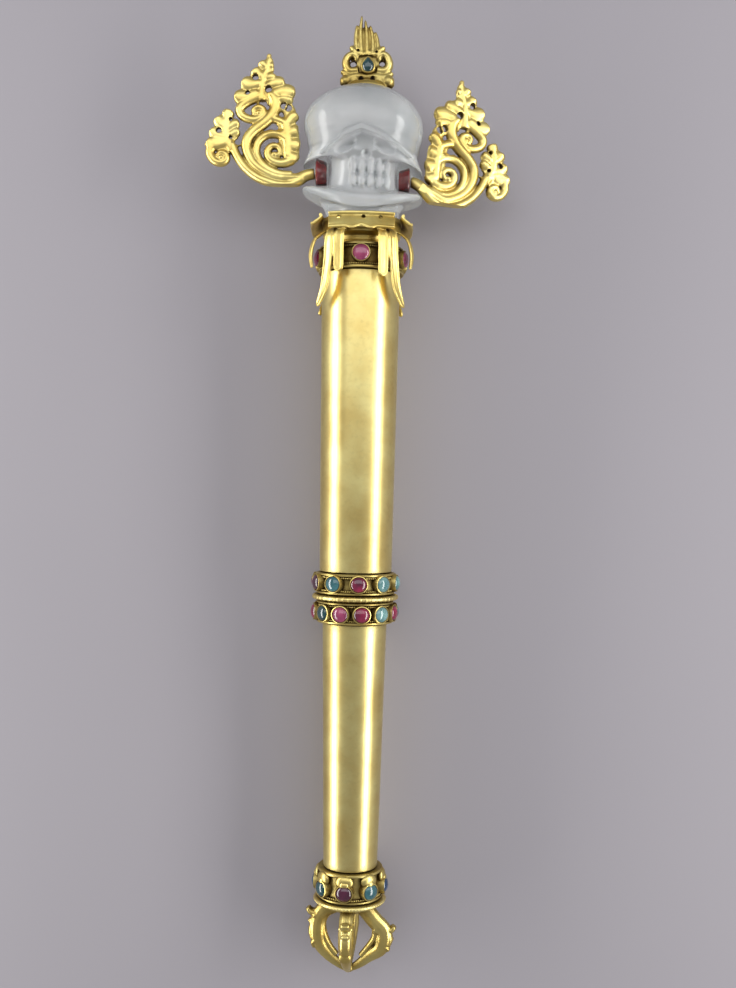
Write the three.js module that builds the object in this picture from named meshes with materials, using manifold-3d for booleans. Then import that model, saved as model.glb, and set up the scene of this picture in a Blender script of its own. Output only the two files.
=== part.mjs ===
// A ceremonial sceptre: a rock-crystal skull on a tapered gilt staff, with pierced flame
// ornaments beside the jaw, gem-set bands and a half-vajra foot. It lies on its back.
// Millimetres. The sceptre is built along +Y with its front to +Z, and is then laid down.
import * as THREE from "three";
import { mergeVertices } from "three/addons/utils/BufferGeometryUtils.js";
import Module from "manifold-3d";

const wasm = await Module();
wasm.setup();

// Clearance between pieces that touch.
const FIT_GAP = 0.3;

// Half-vajra foot.
const VAJRA_LENGTH = 33.9;
const VAJRA_TURN_DEG = -5;
const HUB_RADIUS = 9;
const HUB_HEIGHT = 3.2;
const SPIKE_RADIUS = 2.6;
const PRONG_KNEE_RADIUS = 17.4;
const PRONG_WIDTH = 6.4;
const PRONG_THICKNESS = 4.2;
const SPUR_REACH = 20.6;
const SPUR_HEIGHT = 29.6;
const BENT_PRONG_DROP = 7;
const BENT_PRONG_REACH = 1.6;

// Beaded rings.
const FOOT_RING_RADIUS = 17.2;
const FOOT_RING_HEIGHT = 2.7;
const MID_RING_RADIUS = 20.4;
const MID_RING_HEIGHT = 2.9;
const BEAD_PITCH = 4;
const BEAD_RELIEF = 0.45;

// Shafts.
const LOWER_SHAFT_LENGTH = 115;
const LOWER_SHAFT_BOTTOM_RADIUS = 12.9;
const LOWER_SHAFT_TOP_RADIUS = 15.3;
const UPPER_SHAFT_LENGTH = 140;
const UPPER_SHAFT_BOTTOM_RADIUS = 17.2;
const UPPER_SHAFT_TOP_RADIUS = 18.7;

// Gem bands: height, radius over the drum, and the gems' level above the band's foot.
const FOOT_BAND = { height: 13.5, drumRadius: 14.6, gemLevel: 5.6 };
const LOWER_MID_BAND = { height: 10.1, drumRadius: 17.4, gemLevel: 4.9 };
const UPPER_MID_BAND = { height: 9.7, drumRadius: 17.8, gemLevel: 5.2 };
const TOP_BAND = { height: 11.8, drumRadius: 19.4, gemLevel: 6.4 };
const RIM_HEIGHT = 1.4;
const RIM_OVERHANG = 1.0;

// Gems in their bezels. A gem's width runs round the band.
const BEZEL_HEIGHT = 2.2;
const BEZEL_WALL = 0.6;
const GEM_RISE = 2.2;
const GEM_WIDTH = 8;
const GEM_HEIGHT = 7.6;
const FOOT_GEM_COUNT = 8;
const FOOT_GEM_TURN_DEG = -9;
const LOWER_GEM_COUNT = 12;
const LOWER_GEM_TURN_DEG = 10;
const UPPER_GEM_COUNT = 10;
const UPPER_GEM_TURN_DEG = 5;
const TOP_GEM_COUNT = 10;
const TOP_GEM_TURN_DEG = 0;
const FOOT_PETAL_RADIUS = 3;
const FOOT_PETAL_RISE = 1.5;

// Ribbon collar.
const COLLAR_NECK_RADIUS = 15.6;
const COLLAR_NECK_HEIGHT = 4;
const COLLAR_RADIUS = 18.6;
const COLLAR_LIP = 0.8;
const COLLAR_HEIGHT = 13;
const SOCKET_DEPTH = 7.5;
const PETAL_WIDTH = 31;
const PETAL_LENGTH = 9;
const PETAL_THICKNESS = 1.8;
const FRONT_PETAL_SLOPE_DEG = 28;
const SIDE_PETAL_SLOPE_DEG = 48;
const RIBBON_WIDTH = 4.6;
const RIBBON_THICKNESS = 1.6;
const RIBBON_TURN_DEG = 29;
const RIBBON_SPACING_DEG = 11.5;
const RIBBON_FLARE_DEG = 24;
const SHORT_RIBBON_DROP = 20;
const LONG_RIBBON_DROP = 35;
const SIDE_RIBBON_DROP = 17;
const SIDE_RIBBON_TURN_DEG = 66;

// Crystal skull. Heights are taken from the foot of its neck.
const NECK_RADIUS = 16.8;
const NECK_TOP_RADIUS = 19.6;
const NECK_HEIGHT = 15.4;
const JAW_HALF_WIDTH = 28.8;
const JAW_DEPTH = 21;
const JAW_THICKNESS = 3;
const JAW_RIM_HEIGHT = 21;
const CHIN_DROP = 6.4;
const CHIN_CLEARANCE = 3;
const NOTCH_HALF_WIDTH = 16.4;
const FACE_DEPTH = 21;
const CHEEK_HALF_WIDTH = 28.6;
const CHEEK_HEIGHT = 30.4;
const CHEEK_OVERHANG = 6.4;
const TEMPLE_HALF_WIDTH = 25.4;
const TEMPLE_HEIGHT = 38.7;
const CRANIUM_HALF_WIDTH = 28.4;
const CRANIUM_FRONT = 27;
const CRANIUM_BACK = 28.8;
const CRANIUM_HEIGHT = 51;
const CRANIUM_DOME = 20;
const SKULL_HEIGHT = 69.9;
const CROWN_FLAT_RADIUS = 9;
const HEAD_TILT_DEG = 3.3;
const TOOTH_COUNT = 5;
const TOOTH_PITCH = 3.65;
const TOOTH_HEIGHT = 6.2;
const TEETH_OFFSET = 3.5;
const TEETH_LEVEL = 24.7;
const BROW_APEX_HEIGHT = 43.7;
const EYE_OFFSET = 11;
const EYE_DROP = 9;
const EYE_HALF_WIDTH = 7.4;
const EYE_HALF_HEIGHT = 4.6;
const EYE_SLANT_DEG = 26;
const NOSE_WIDTH = 6;
const NOSE_HEIGHT = 6.4;

// Red bosses in the notches beside the jaw.
const LEFT_BOSS = { radius: 7, height: 28.1 };
const RIGHT_BOSS = { radius: 6.4, height: 25.1 };
const BOSS_TAPER = 1.4;
const BOSS_THICKNESS = 5.4;
const BOSS_FORWARD = 6;

// Flame scrolls. Their drawing is in hundredths of their own height.
const LEFT_SCROLL = { height: 65, yawDeg: 0, rollDeg: 0, rootOut: 13, rootUp: -2.7, sag: 0 };
const RIGHT_SCROLL = { height: 66, yawDeg: 21, rollDeg: -3.6, rootOut: 11, rootUp: -8.6, sag: 3 };
const SCROLL_HALF_DEPTH = 3;
const ARM_STRAIGHT = 5.4;

// Crown finial. Its drawing is in hundredths of its own height.
const FINIAL_HEIGHT = 31.7;
const FINIAL_HALF_DEPTH = 3.6;
const FINIAL_OFFSET = 1.2;
const CROWN_GEM_WIDTH = 6.4;
const CROWN_GEM_HEIGHT = 6.9;
const CROWN_GEM_DEPTH = 2.4;

// Small flats that the sceptre rests on.
const FOOT_REST_DEPTH = 20.1;
const SKULL_REST_CUT = 0.9;

// Facets of the round work.
const SHAFT_FACETS = 32;
const DRUM_FACETS = 20;
const GEM_FACETS = 8;
const HUB_FACETS = 12;
const LOBE_FACETS = 5;
const SKULL_FACETS = 24;
const SMALLEST_FACET = 0.12;

// Heights along the axis, from the vajra's tip.
const footRingFoot = VAJRA_LENGTH + FIT_GAP;
const footBandFoot = footRingFoot + FOOT_RING_HEIGHT + FIT_GAP;
const lowerShaftFoot = footBandFoot + FOOT_BAND.height + FIT_GAP;
const lowerBandFoot = lowerShaftFoot + LOWER_SHAFT_LENGTH + FIT_GAP;
const midRingFoot = lowerBandFoot + LOWER_MID_BAND.height + FIT_GAP;
const upperBandFoot = midRingFoot + MID_RING_HEIGHT + FIT_GAP;
const upperShaftFoot = upperBandFoot + UPPER_MID_BAND.height + FIT_GAP;
const topBandFoot = upperShaftFoot + UPPER_SHAFT_LENGTH + FIT_GAP;
const collarFoot = topBandFoot + TOP_BAND.height + FIT_GAP;
const collarTop = collarFoot + COLLAR_HEIGHT;
const skullFoot = collarTop - SOCKET_DEPTH + FIT_GAP;
const crownHeight = skullFoot + SKULL_HEIGHT;

const gilt = { color: 0xc9a24a, roughness: 0.34, metalness: 1 };
const crystal = { color: 0xe6eef0, roughness: 0.18, metalness: 0, transparent: true, opacity: 0.75 };
const coral = { color: 0x8c1f1a, roughness: 0.4, metalness: 0 };
const ruby = { color: 0x8a1238, roughness: 0.2, metalness: 0 };
const turquoise = { color: 0x2c7f8a, roughness: 0.25, metalness: 0 };

// Solids

function solidOf(geometry) {
  const bare = geometry.index ? geometry.toNonIndexed() : geometry.clone();
  bare.deleteAttribute("normal");
  bare.deleteAttribute("uv");
  const merged = mergeVertices(bare, 1e-3);
  const mesh = new wasm.Mesh({
    numProp: 3,
    vertProperties: new Float32Array(merged.attributes.position.array),
    triVerts: new Uint32Array(merged.index.array),
  });
  return new wasm.Manifold(mesh);
}

function geometryOf(solid) {
  const mesh = solid.getMesh();
  const geometry = new THREE.BufferGeometry();
  geometry.setAttribute("position", new THREE.BufferAttribute(mesh.vertProperties, 3));
  geometry.setIndex(new THREE.BufferAttribute(mesh.triVerts, 1));
  return geometry;
}

function joined(geometries) {
  const solids = geometries.map(solidOf);
  return solids.reduce((whole, next) => whole.add(next)).simplify(SMALLEST_FACET);
}

// A closed skin over rings of equal point count, each ring running round anticlockwise
// as seen from the end that the rings move towards.
function skinOver(rings) {
  const points = rings.flat();
  const sides = rings[0].length;
  const middle = (ring) =>
    ring.reduce((sum, point) => sum.add(point), new THREE.Vector3()).divideScalar(ring.length);
  const first = points.length;
  const last = first + 1;
  const all = [...points, middle(rings[0]), middle(rings[rings.length - 1])];
  const faces = [];
  for (let i = 0; i + 1 < rings.length; i += 1) {
    for (let k = 0; k < sides; k += 1) {
      const a = i * sides + k;
      const b = i * sides + ((k + 1) % sides);
      faces.push(a, b, b + sides, a, b + sides, a + sides);
    }
  }
  for (let k = 0; k < sides; k += 1) {
    const next = (k + 1) % sides;
    const top = (rings.length - 1) * sides;
    faces.push(first, next, k, last, top + k, top + next);
  }
  const geometry = new THREE.BufferGeometry().setFromPoints(all);
  geometry.setIndex(faces);
  return geometry;
}

// A bar along a curve, of elliptical section or, with four sides, flat-faced. The depth way
// is the way its section's depth faces.
function sweptBar({ path, steps, sides, halfWidth, halfDepth, depthWay, flat = false }) {
  const cornerShare = flat ? Math.SQRT2 : 1;
  const cornerTurn = flat ? Math.PI / 4 : 0;
  const rings = [];
  for (let i = 0; i <= steps; i += 1) {
    const u = i / steps;
    const centre = path.getPoint(u);
    const along = path.getTangent(u);
    const facing = depthWay(centre);
    const depth = facing.addScaledVector(along, -facing.dot(along)).normalize();
    const width = new THREE.Vector3().crossVectors(depth, along);
    const ring = [];
    for (let k = 0; k < sides; k += 1) {
      const angle = (2 * Math.PI * k) / sides + cornerTurn;
      const point = centre.clone();
      point.addScaledVector(width, Math.cos(angle) * halfWidth(u) * cornerShare);
      point.addScaledVector(depth, Math.sin(angle) * halfDepth(u) * cornerShare);
      ring.push(point);
    }
    rings.push(ring);
  }
  return skinOver(rings);
}

function mirroredAcross(geometry) {
  const turned = geometry.toNonIndexed().applyMatrix4(new THREE.Matrix4().makeScale(-1, 1, 1));
  const position = turned.attributes.position;
  for (let i = 0; i < position.count; i += 3) {
    const second = new THREE.Vector3().fromBufferAttribute(position, i + 1);
    const third = new THREE.Vector3().fromBufferAttribute(position, i + 2);
    position.setXYZ(i + 1, third.x, third.y, third.z);
    position.setXYZ(i + 2, second.x, second.y, second.z);
  }
  return turned;
}

function turned(profile, facets) {
  const points = profile.map(([radius, height]) => new THREE.Vector2(radius, height));
  return new THREE.LatheGeometry(points, facets);
}

const group = new THREE.Group();
const sceptre = new THREE.Group();
group.add(sceptre);

function addPiece(name, geometry, look) {
  geometry.computeVertexNormals();
  const mesh = new THREE.Mesh(geometry, new THREE.MeshStandardMaterial(look));
  mesh.name = name;
  sceptre.add(mesh);
  return mesh;
}

// The resting plane: it touches the foot's back prong and the skull's back.
const skullRestDepth = CRANIUM_BACK - SKULL_REST_CUT;
const skullRestHeight = skullFoot + CRANIUM_HEIGHT;
const restSlope = (skullRestDepth - FOOT_REST_DEPTH) / (skullRestHeight - SPUR_HEIGHT);
const lieAngle = Math.atan(restSlope);

function belowRestPlane() {
  const reach = 2 * crownHeight;
  const block = new THREE.BoxGeometry(reach, reach, reach);
  block.translate(0, 0, -reach / 2);
  block.rotateX(-lieAngle);
  block.translate(0, skullRestHeight, -skullRestDepth);
  return solidOf(block);
}

function withRestFlat(solid) {
  return solid.subtract(belowRestPlane());
}

// Half-vajra

function prongPath(drop, reach) {
  const outline = [
    [HUB_RADIUS - 3, VAJRA_LENGTH - HUB_HEIGHT / 2],
    [PRONG_KNEE_RADIUS * 0.72, SPUR_HEIGHT - drop * 0.55],
    [PRONG_KNEE_RADIUS * 0.96 + reach, VAJRA_LENGTH * 0.74 - drop * 0.5],
    [PRONG_KNEE_RADIUS - PRONG_THICKNESS / 2 + reach, VAJRA_LENGTH * 0.58 - drop * 0.3],
    [PRONG_KNEE_RADIUS * 0.66, VAJRA_LENGTH * 0.32],
    [PRONG_KNEE_RADIUS * 0.3, VAJRA_LENGTH * 0.12],
    [SPIKE_RADIUS * 0.3, VAJRA_LENGTH * 0.04],
  ];
  return new THREE.CatmullRomCurve3(outline.map(([r, t]) => new THREE.Vector3(r, t, 0)));
}

function vajraProng(azimuthDeg, drop, reach) {
  const across = () => new THREE.Vector3(0, 0, 1);
  const taper = (u) => (u < 0.55 ? 1 : 1 - (u - 0.55) * 1.5);
  const bar = sweptBar({
    path: prongPath(drop, reach),
    steps: 8,
    sides: 4,
    flat: true,
    halfWidth: (u) => (PRONG_THICKNESS / 2) * taper(u),
    halfDepth: (u) => (PRONG_WIDTH / 2) * taper(u),
    depthWay: across,
  });
  const spurPath = new THREE.QuadraticBezierCurve3(
    new THREE.Vector3(PRONG_KNEE_RADIUS * 0.7, SPUR_HEIGHT - drop - 1, 0),
    new THREE.Vector3(SPUR_REACH - 3, SPUR_HEIGHT - drop - 2, 0),
    new THREE.Vector3(SPUR_REACH + reach - 0.6, SPUR_HEIGHT - drop + 0.8, 0),
  );
  const spur = sweptBar({
    path: spurPath,
    steps: 2,
    sides: 4,
    flat: true,
    halfWidth: (u) => 2.4 - 0.7 * u,
    halfDepth: (u) => PRONG_WIDTH / 2 - 0.8 * u,
    depthWay: across,
  });
  const turn = THREE.MathUtils.degToRad(azimuthDeg - 90);
  return [bar, spur].map((geometry) => geometry.rotateY(turn));
}

function halfVajra() {
  const hubFoot = VAJRA_LENGTH - HUB_HEIGHT;
  const hub = turned(
    [
      [0, hubFoot - 1.6],
      [HUB_RADIUS * 0.7, hubFoot],
      [HUB_RADIUS, hubFoot + HUB_HEIGHT * 0.5],
      [HUB_RADIUS, VAJRA_LENGTH],
      [0, VAJRA_LENGTH],
    ],
    HUB_FACETS,
  );
  const spike = turned(
    [
      [0, 0],
      [SPIKE_RADIUS * 0.8, SPIKE_RADIUS * 0.6],
      [SPIKE_RADIUS * 0.7, SPIKE_RADIUS * 2],
      [SPIKE_RADIUS * 1.2, VAJRA_LENGTH * 0.5],
      [SPIKE_RADIUS, hubFoot],
      [0, hubFoot],
    ],
    HUB_FACETS / 2,
  );
  const prongs = [0, 90, 180, 270].flatMap((azimuth) => {
    const bent = azimuth === 90;
    const drop = bent ? BENT_PRONG_DROP : 0;
    const reach = bent ? BENT_PRONG_REACH : 0;
    return vajraProng(azimuth + VAJRA_TURN_DEG, drop, reach);
  });
  const above = new THREE.BoxGeometry(4 * SPUR_REACH, VAJRA_LENGTH, 4 * SPUR_REACH);
  above.translate(0, VAJRA_LENGTH * 1.5, 0);
  return withRestFlat(joined([hub, spike, ...prongs]).subtract(solidOf(above)));
}

// Beaded rings

function beadRing(radius, height, foot) {
  const beads = Math.round((2 * Math.PI * radius) / BEAD_PITCH);
  const facets = 2 * beads;
  const profile = [
    [0, 0],
    [radius - height * 0.4, 0],
    [radius, height * 0.5],
    [radius - height * 0.4, height],
    [0, height],
  ];
  const geometry = turned(profile, facets);
  const position = geometry.attributes.position;
  for (let i = 0; i < position.count; i += 1) {
    const x = position.getX(i);
    const z = position.getZ(i);
    const distance = Math.hypot(x, z);
    if (distance > radius - height * 0.3) {
      const facet = Math.round((Math.atan2(z, x) / (2 * Math.PI)) * facets);
      const share = 1 - (facet % 2 === 0 ? 0 : BEAD_RELIEF / radius);
      position.setX(i, x * share);
      position.setZ(i, z * share);
    }
  }
  return geometry.translate(0, foot, 0);
}

// Gem bands. A gem is turned about +Z and then set on the band's side.

function gemDome(width, height, rise, facets) {
  const dome = turned(
    [
      [0, 0],
      [0.5, 0],
      [0.36, rise * 0.74],
      [0, rise],
    ],
    facets,
  );
  dome.rotateX(Math.PI / 2);
  dome.scale(width, height, 1);
  return dome;
}

function gemPlaces(count, turnDeg, radius, level) {
  const places = [];
  for (let i = 0; i < count; i += 1) {
    const angle = THREE.MathUtils.degToRad(turnDeg) + (2 * Math.PI * i) / count;
    const place = new THREE.Matrix4().makeRotationY(angle);
    place.setPosition(Math.sin(angle) * radius, level, Math.cos(angle) * radius);
    places.push(place);
  }
  return places;
}

function bandGem(place) {
  const gem = gemDome(GEM_WIDTH, GEM_HEIGHT, GEM_RISE, GEM_FACETS);
  return gem.applyMatrix4(place);
}

// A band's body: round rims above and below, and between them a faceted wall whose flats
// carry the gems.
function bandBody(foot, band, count, turnDeg) {
  const seat = gemSeat(band);
  const halfFlat = Math.asin((GEM_WIDTH / 2 + BEZEL_WALL) / seat);
  const corner = seat / Math.cos(halfFlat);
  const rim = band.drumRadius + RIM_OVERHANG;
  const ring = (radius, height) => {
    const points = [];
    for (let i = 0; i < count; i += 1) {
      const middle = THREE.MathUtils.degToRad(turnDeg) + (2 * Math.PI * i) / count;
      for (const angle of [middle - halfFlat, middle + halfFlat]) {
        points.push(new THREE.Vector3(Math.sin(angle) * radius, height, Math.cos(angle) * radius));
      }
    }
    return points;
  };
  return skinOver([
    ring(rim, foot),
    ring(rim, foot + RIM_HEIGHT),
    ring(corner, foot + RIM_HEIGHT),
    ring(corner, foot + band.height - RIM_HEIGHT),
    ring(rim, foot + band.height - RIM_HEIGHT),
    ring(rim, foot + band.height),
  ]);
}

function gemSeat(band) {
  return band.drumRadius + BEZEL_HEIGHT - BEZEL_WALL;
}

// R is a ruby and T a turquoise, in order round a band.
const stonesOf = (letters) => Array.from(letters, (letter) => (letter === "R" ? ruby : turquoise));

function gemBand(name, foot, band, count, turnDeg, colours, extras = []) {
  const body = bandBody(foot, band, count, turnDeg);
  const whole = extras.length > 0 ? geometryOf(joined([body, ...extras])) : body;
  addPiece(name + "_gem_band", whole, gilt);
  const level = foot + band.gemLevel;
  gemPlaces(count, turnDeg, gemSeat(band) + FIT_GAP, level).forEach((place, i) => {
    const number = String(i).padStart(2, "0");
    addPiece(name + "_gem_" + number, bandGem(place), colours[i % colours.length]);
  });
}

function footPetals() {
  const petalRadius = FOOT_BAND.drumRadius + FOOT_PETAL_RISE / 2;
  const level = footBandFoot + FOOT_BAND.height - FOOT_PETAL_RADIUS;
  return gemPlaces(FOOT_GEM_COUNT, FOOT_GEM_TURN_DEG, petalRadius, level).map((place) => {
    const petal = new THREE.SphereGeometry(1, 6, 2);
    petal.rotateX(Math.PI / 2);
    petal.scale(FOOT_PETAL_RADIUS, FOOT_PETAL_RADIUS, FOOT_PETAL_RISE);
    return petal.applyMatrix4(place);
  });
}

// Shafts

function shaft(foot, length, bottomRadius, topRadius) {
  const profile = [
    [0, foot],
    [bottomRadius, foot],
    [topRadius, foot + length],
    [0, foot + length],
  ];
  return turned(profile, SHAFT_FACETS);
}

// Ribbon collar

const slopeWay = (rise) => (point) => {
  const outward = new THREE.Vector3(point.x, 0, point.z).normalize();
  return outward.addScaledVector(new THREE.Vector3(0, 1, 0), rise);
};

function onShaft(azimuthDeg, radius, height) {
  const angle = THREE.MathUtils.degToRad(azimuthDeg);
  return new THREE.Vector3(Math.sin(angle) * radius, height, Math.cos(angle) * radius);
}

// A flat petal that slopes outwards and down from the collar's lip.
function petal(azimuthDeg, slopeDeg) {
  const slope = THREE.MathUtils.degToRad(slopeDeg);
  const root = COLLAR_RADIUS - PETAL_THICKNESS;
  const reach = root + (PETAL_LENGTH / 2) * Math.sin(slope);
  const height = collarTop - (PETAL_LENGTH / 2) * Math.cos(slope);
  const plate = sweptBar({
    path: new THREE.CatmullRomCurve3([
      new THREE.Vector3(-PETAL_WIDTH / 2, height - 0.5, reach - 0.8),
      new THREE.Vector3(0, height, reach),
      new THREE.Vector3(PETAL_WIDTH / 2, height - 0.5, reach - 0.8),
    ]),
    steps: 4,
    sides: 6,
    halfWidth: (u) => (PETAL_LENGTH / 2) * (1 - 0.3 * Math.abs(2 * u - 1) ** 4),
    halfDepth: () => PETAL_THICKNESS / 2,
    depthWay: () => new THREE.Vector3(0, Math.sin(slope), Math.cos(slope)),
  });
  return plate.rotateY(THREE.MathUtils.degToRad(azimuthDeg));
}

function ribbon(azimuthDeg, drop, flare, steps) {
  const root = collarTop - PETAL_LENGTH * 0.8;
  const clear = TOP_BAND.drumRadius + BEZEL_HEIGHT + GEM_RISE + RIBBON_THICKNESS;
  const points = [
    onShaft(azimuthDeg, COLLAR_RADIUS, root + 1),
    onShaft(azimuthDeg, clear, root - drop * 0.14),
    onShaft(azimuthDeg + flare * 0.05, clear, root - drop * 0.5),
    onShaft(azimuthDeg + flare * 0.3, clear - 0.6, root - drop * 0.78),
    onShaft(azimuthDeg + flare, clear - 1.2, root - drop),
  ];
  const narrowing = flare === 0 ? 0.6 : 2.6;
  return sweptBar({
    path: new THREE.CatmullRomCurve3(points),
    steps,
    sides: 4,
    flat: true,
    halfWidth: (u) => (RIBBON_WIDTH / 2) * (u > 0.7 ? 1 - (u - 0.7) * narrowing : 1),
    halfDepth: () => RIBBON_THICKNESS / 2,
    depthWay: slopeWay(0),
  });
}

function sideRibbon(azimuthDeg) {
  const root = collarTop - PETAL_LENGTH * 0.8;
  const clear = TOP_BAND.drumRadius + BEZEL_HEIGHT + GEM_RISE + RIBBON_THICKNESS;
  const points = [
    onShaft(azimuthDeg, COLLAR_RADIUS - 1, root + 1),
    onShaft(azimuthDeg, clear - 1.6, root - SIDE_RIBBON_DROP * 0.2),
    onShaft(azimuthDeg, clear + 1, root - SIDE_RIBBON_DROP * 0.6),
    onShaft(azimuthDeg, clear + 0.4, root - SIDE_RIBBON_DROP),
  ];
  return sweptBar({
    path: new THREE.CatmullRomCurve3(points),
    steps: 4,
    sides: 4,
    flat: true,
    halfWidth: (u) => (RIBBON_WIDTH / 2) * (1 - 0.5 * u),
    halfDepth: () => RIBBON_THICKNESS / 2,
    depthWay: slopeWay(0),
  });
}

// The room for the skull's neck: a straight socket, then clear of the neck's flare.
function neckRoom() {
  const foot = collarTop - SOCKET_DEPTH;
  const flare = NECK_TOP_RADIUS - NECK_RADIUS;
  const room = turned(
    [
      [0, foot],
      [NECK_RADIUS + FIT_GAP, foot],
      [NECK_RADIUS + FIT_GAP, collarTop - CHIN_CLEARANCE / 2],
      [NECK_RADIUS + FIT_GAP + flare, collarTop + CHIN_CLEARANCE / 2],
      [NECK_RADIUS + FIT_GAP + flare, collarTop + NECK_HEIGHT],
      [0, collarTop + NECK_HEIGHT],
    ],
    SKULL_FACETS,
  );
  return solidOf(room);
}

function ribbonCollar() {
  const body = turned(
    [
      [0, collarFoot],
      [COLLAR_NECK_RADIUS, collarFoot],
      [COLLAR_NECK_RADIUS, collarFoot + COLLAR_NECK_HEIGHT],
      [COLLAR_RADIUS, collarFoot + COLLAR_NECK_HEIGHT + COLLAR_LIP],
      [COLLAR_RADIUS, collarTop],
      [0, collarTop],
    ],
    DRUM_FACETS,
  );
  const petals = [0, 90, 180, 270].map((azimuth) =>
    petal(azimuth, azimuth % 180 === 0 ? FRONT_PETAL_SLOPE_DEG : SIDE_PETAL_SLOPE_DEG),
  );
  const pairs = [-1, 1].flatMap((side) =>
    [0, 180].flatMap((turn) => {
      const away = turn === 0 ? side : -side;
      const azimuth = turn + away * RIBBON_TURN_DEG;
      const apart = (away * RIBBON_SPACING_DEG) / 2;
      const long = ribbon(azimuth + apart, LONG_RIBBON_DROP, away * RIBBON_FLARE_DEG, 6);
      return turn === 0 ? [long, ribbon(azimuth - apart, SHORT_RIBBON_DROP, 0, 4)] : [long];
    }),
  );
  const sides = [-SIDE_RIBBON_TURN_DEG, SIDE_RIBBON_TURN_DEG].map(sideRibbon);
  return joined([body, ...petals, ...pairs, ...sides]).subtract(neckRoom());
}

// Crystal skull: rings from the neck up. At the sides, the front and the back a ring has
// its own height, so the jaw plate hangs lower at the chin and the cheekbones flare down.

function skullRing({ side, front, back, sideHeight, frontHeight, backHeight, tilt }, facets) {
  const ring = [];
  for (let k = 0; k < facets; k += 1) {
    const angle = -(2 * Math.PI * k) / facets;
    const across = Math.cos(angle);
    const ahead = Math.sin(angle);
    const squareness = 1 - 0.1 * tilt;
    const x = side * Math.sign(across) * Math.abs(across) ** squareness;
    const z = (ahead > 0 ? front : back) * Math.sign(ahead) * Math.abs(ahead) ** squareness;
    const share = ahead * ahead;
    const height = sideHeight * (1 - share) + (ahead > 0 ? frontHeight : backHeight) * share;
    const lean = -x * Math.tan(THREE.MathUtils.degToRad(HEAD_TILT_DEG)) * tilt;
    ring.push(new THREE.Vector3(x, skullFoot + height + lean, z));
  }
  return ring;
}

function skullRings() {
  const rimTop = JAW_RIM_HEIGHT;
  const rimFoot = JAW_RIM_HEIGHT - JAW_THICKNESS;
  const cheek = CHEEK_HEIGHT;
  const roof = CHEEK_HEIGHT + CHEEK_OVERHANG;
  const temple = TEMPLE_HEIGHT;
  const level = (side, front, back, sideHeight, frontHeight, backHeight, tilt = 1) => ({
    side,
    front,
    back,
    sideHeight,
    frontHeight,
    backHeight,
    tilt,
  });
  const round = (radius, height, chinDrop, tilt) =>
    level(radius, radius, radius, height, height - chinDrop, height, tilt);
  const domeRing = (rise) => {
    const share = Math.sqrt(1 - rise * rise);
    const height = CRANIUM_HEIGHT + CRANIUM_DOME * rise;
    const side = CRANIUM_HALF_WIDTH * share;
    const front = CRANIUM_FRONT * share;
    const back = CRANIUM_BACK * share;
    return level(side, front, back, height, height, height, 1 - rise);
  };
  const chin = rimTop - CHIN_DROP;
  return [
    round(NECK_RADIUS, 0, 0, 0),
    round(NECK_RADIUS, SOCKET_DEPTH, 0, 0),
    round(NECK_TOP_RADIUS, NECK_HEIGHT, CHIN_CLEARANCE + CHIN_DROP / 2, 0.3),
    level(JAW_HALF_WIDTH - 1, JAW_DEPTH - 1, JAW_DEPTH - 1, rimFoot, rimFoot - CHIN_DROP, rimFoot),
    level(JAW_HALF_WIDTH, JAW_DEPTH, JAW_DEPTH, rimTop, chin, rimTop),
    level(NOTCH_HALF_WIDTH, FACE_DEPTH - 1.6, JAW_DEPTH - 2, rimTop + 1.2, chin + 1.6, rimTop + 1),
    level(NOTCH_HALF_WIDTH, FACE_DEPTH - 0.4, JAW_DEPTH - 1, cheek, cheek - 5, cheek),
    level(NOTCH_HALF_WIDTH, FACE_DEPTH, JAW_DEPTH + 1, roof, cheek, cheek + 4),
    level(CHEEK_HALF_WIDTH, FACE_DEPTH + 1, JAW_DEPTH + 3, cheek, cheek + 2.5, cheek + 6),
    level(CHEEK_HALF_WIDTH - 0.6, FACE_DEPTH + 1.6, JAW_DEPTH + 4, cheek + 2, cheek + 4.5, cheek + 7),
    level(TEMPLE_HALF_WIDTH, FACE_DEPTH + 3, CRANIUM_BACK - 2, temple, temple, temple + 1),
    domeRing(-0.3),
    domeRing(0),
    ...[0.3, 0.55, 0.75, 0.88].map(domeRing),
    round(CROWN_FLAT_RADIUS, SKULL_HEIGHT, 0, 0),
  ];
}

function eyeHollow(side) {
  const hollow = new THREE.SphereGeometry(1, 8, 4);
  hollow.scale(EYE_HALF_WIDTH, EYE_HALF_HEIGHT, EYE_HALF_WIDTH * 0.8);
  hollow.rotateZ(-side * THREE.MathUtils.degToRad(EYE_SLANT_DEG));
  const height = skullFoot + BROW_APEX_HEIGHT - EYE_DROP;
  hollow.translate(side * EYE_OFFSET, height, FACE_DEPTH + EYE_HALF_HEIGHT * 0.6);
  return solidOf(hollow);
}

function noseHollow() {
  const hollow = new THREE.ConeGeometry(NOSE_WIDTH / 2, NOSE_HEIGHT, 6);
  const height = skullFoot + CHEEK_HEIGHT + NOSE_HEIGHT * 0.8;
  hollow.translate(TEETH_OFFSET / 2, height, FACE_DEPTH + NOSE_WIDTH / 2);
  return solidOf(hollow);
}

function toothRows() {
  const teeth = [];
  for (const row of [-1, 1]) {
    for (let i = 0; i < TOOTH_COUNT; i += 1) {
      const across = TEETH_OFFSET + (i - (TOOTH_COUNT - 1) / 2) * TOOTH_PITCH;
      const tooth = new THREE.CylinderGeometry(TOOTH_PITCH * 0.52, TOOTH_PITCH * 0.44, TOOTH_HEIGHT, 6);
      tooth.rotateZ(row > 0 ? 0 : Math.PI);
      const bulge = FACE_DEPTH - 1.7 - 0.012 * across * across;
      tooth.translate(across, skullFoot + TEETH_LEVEL + row * TOOTH_HEIGHT * 0.52, bulge);
      teeth.push(tooth);
    }
  }
  return joined(teeth);
}

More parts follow.
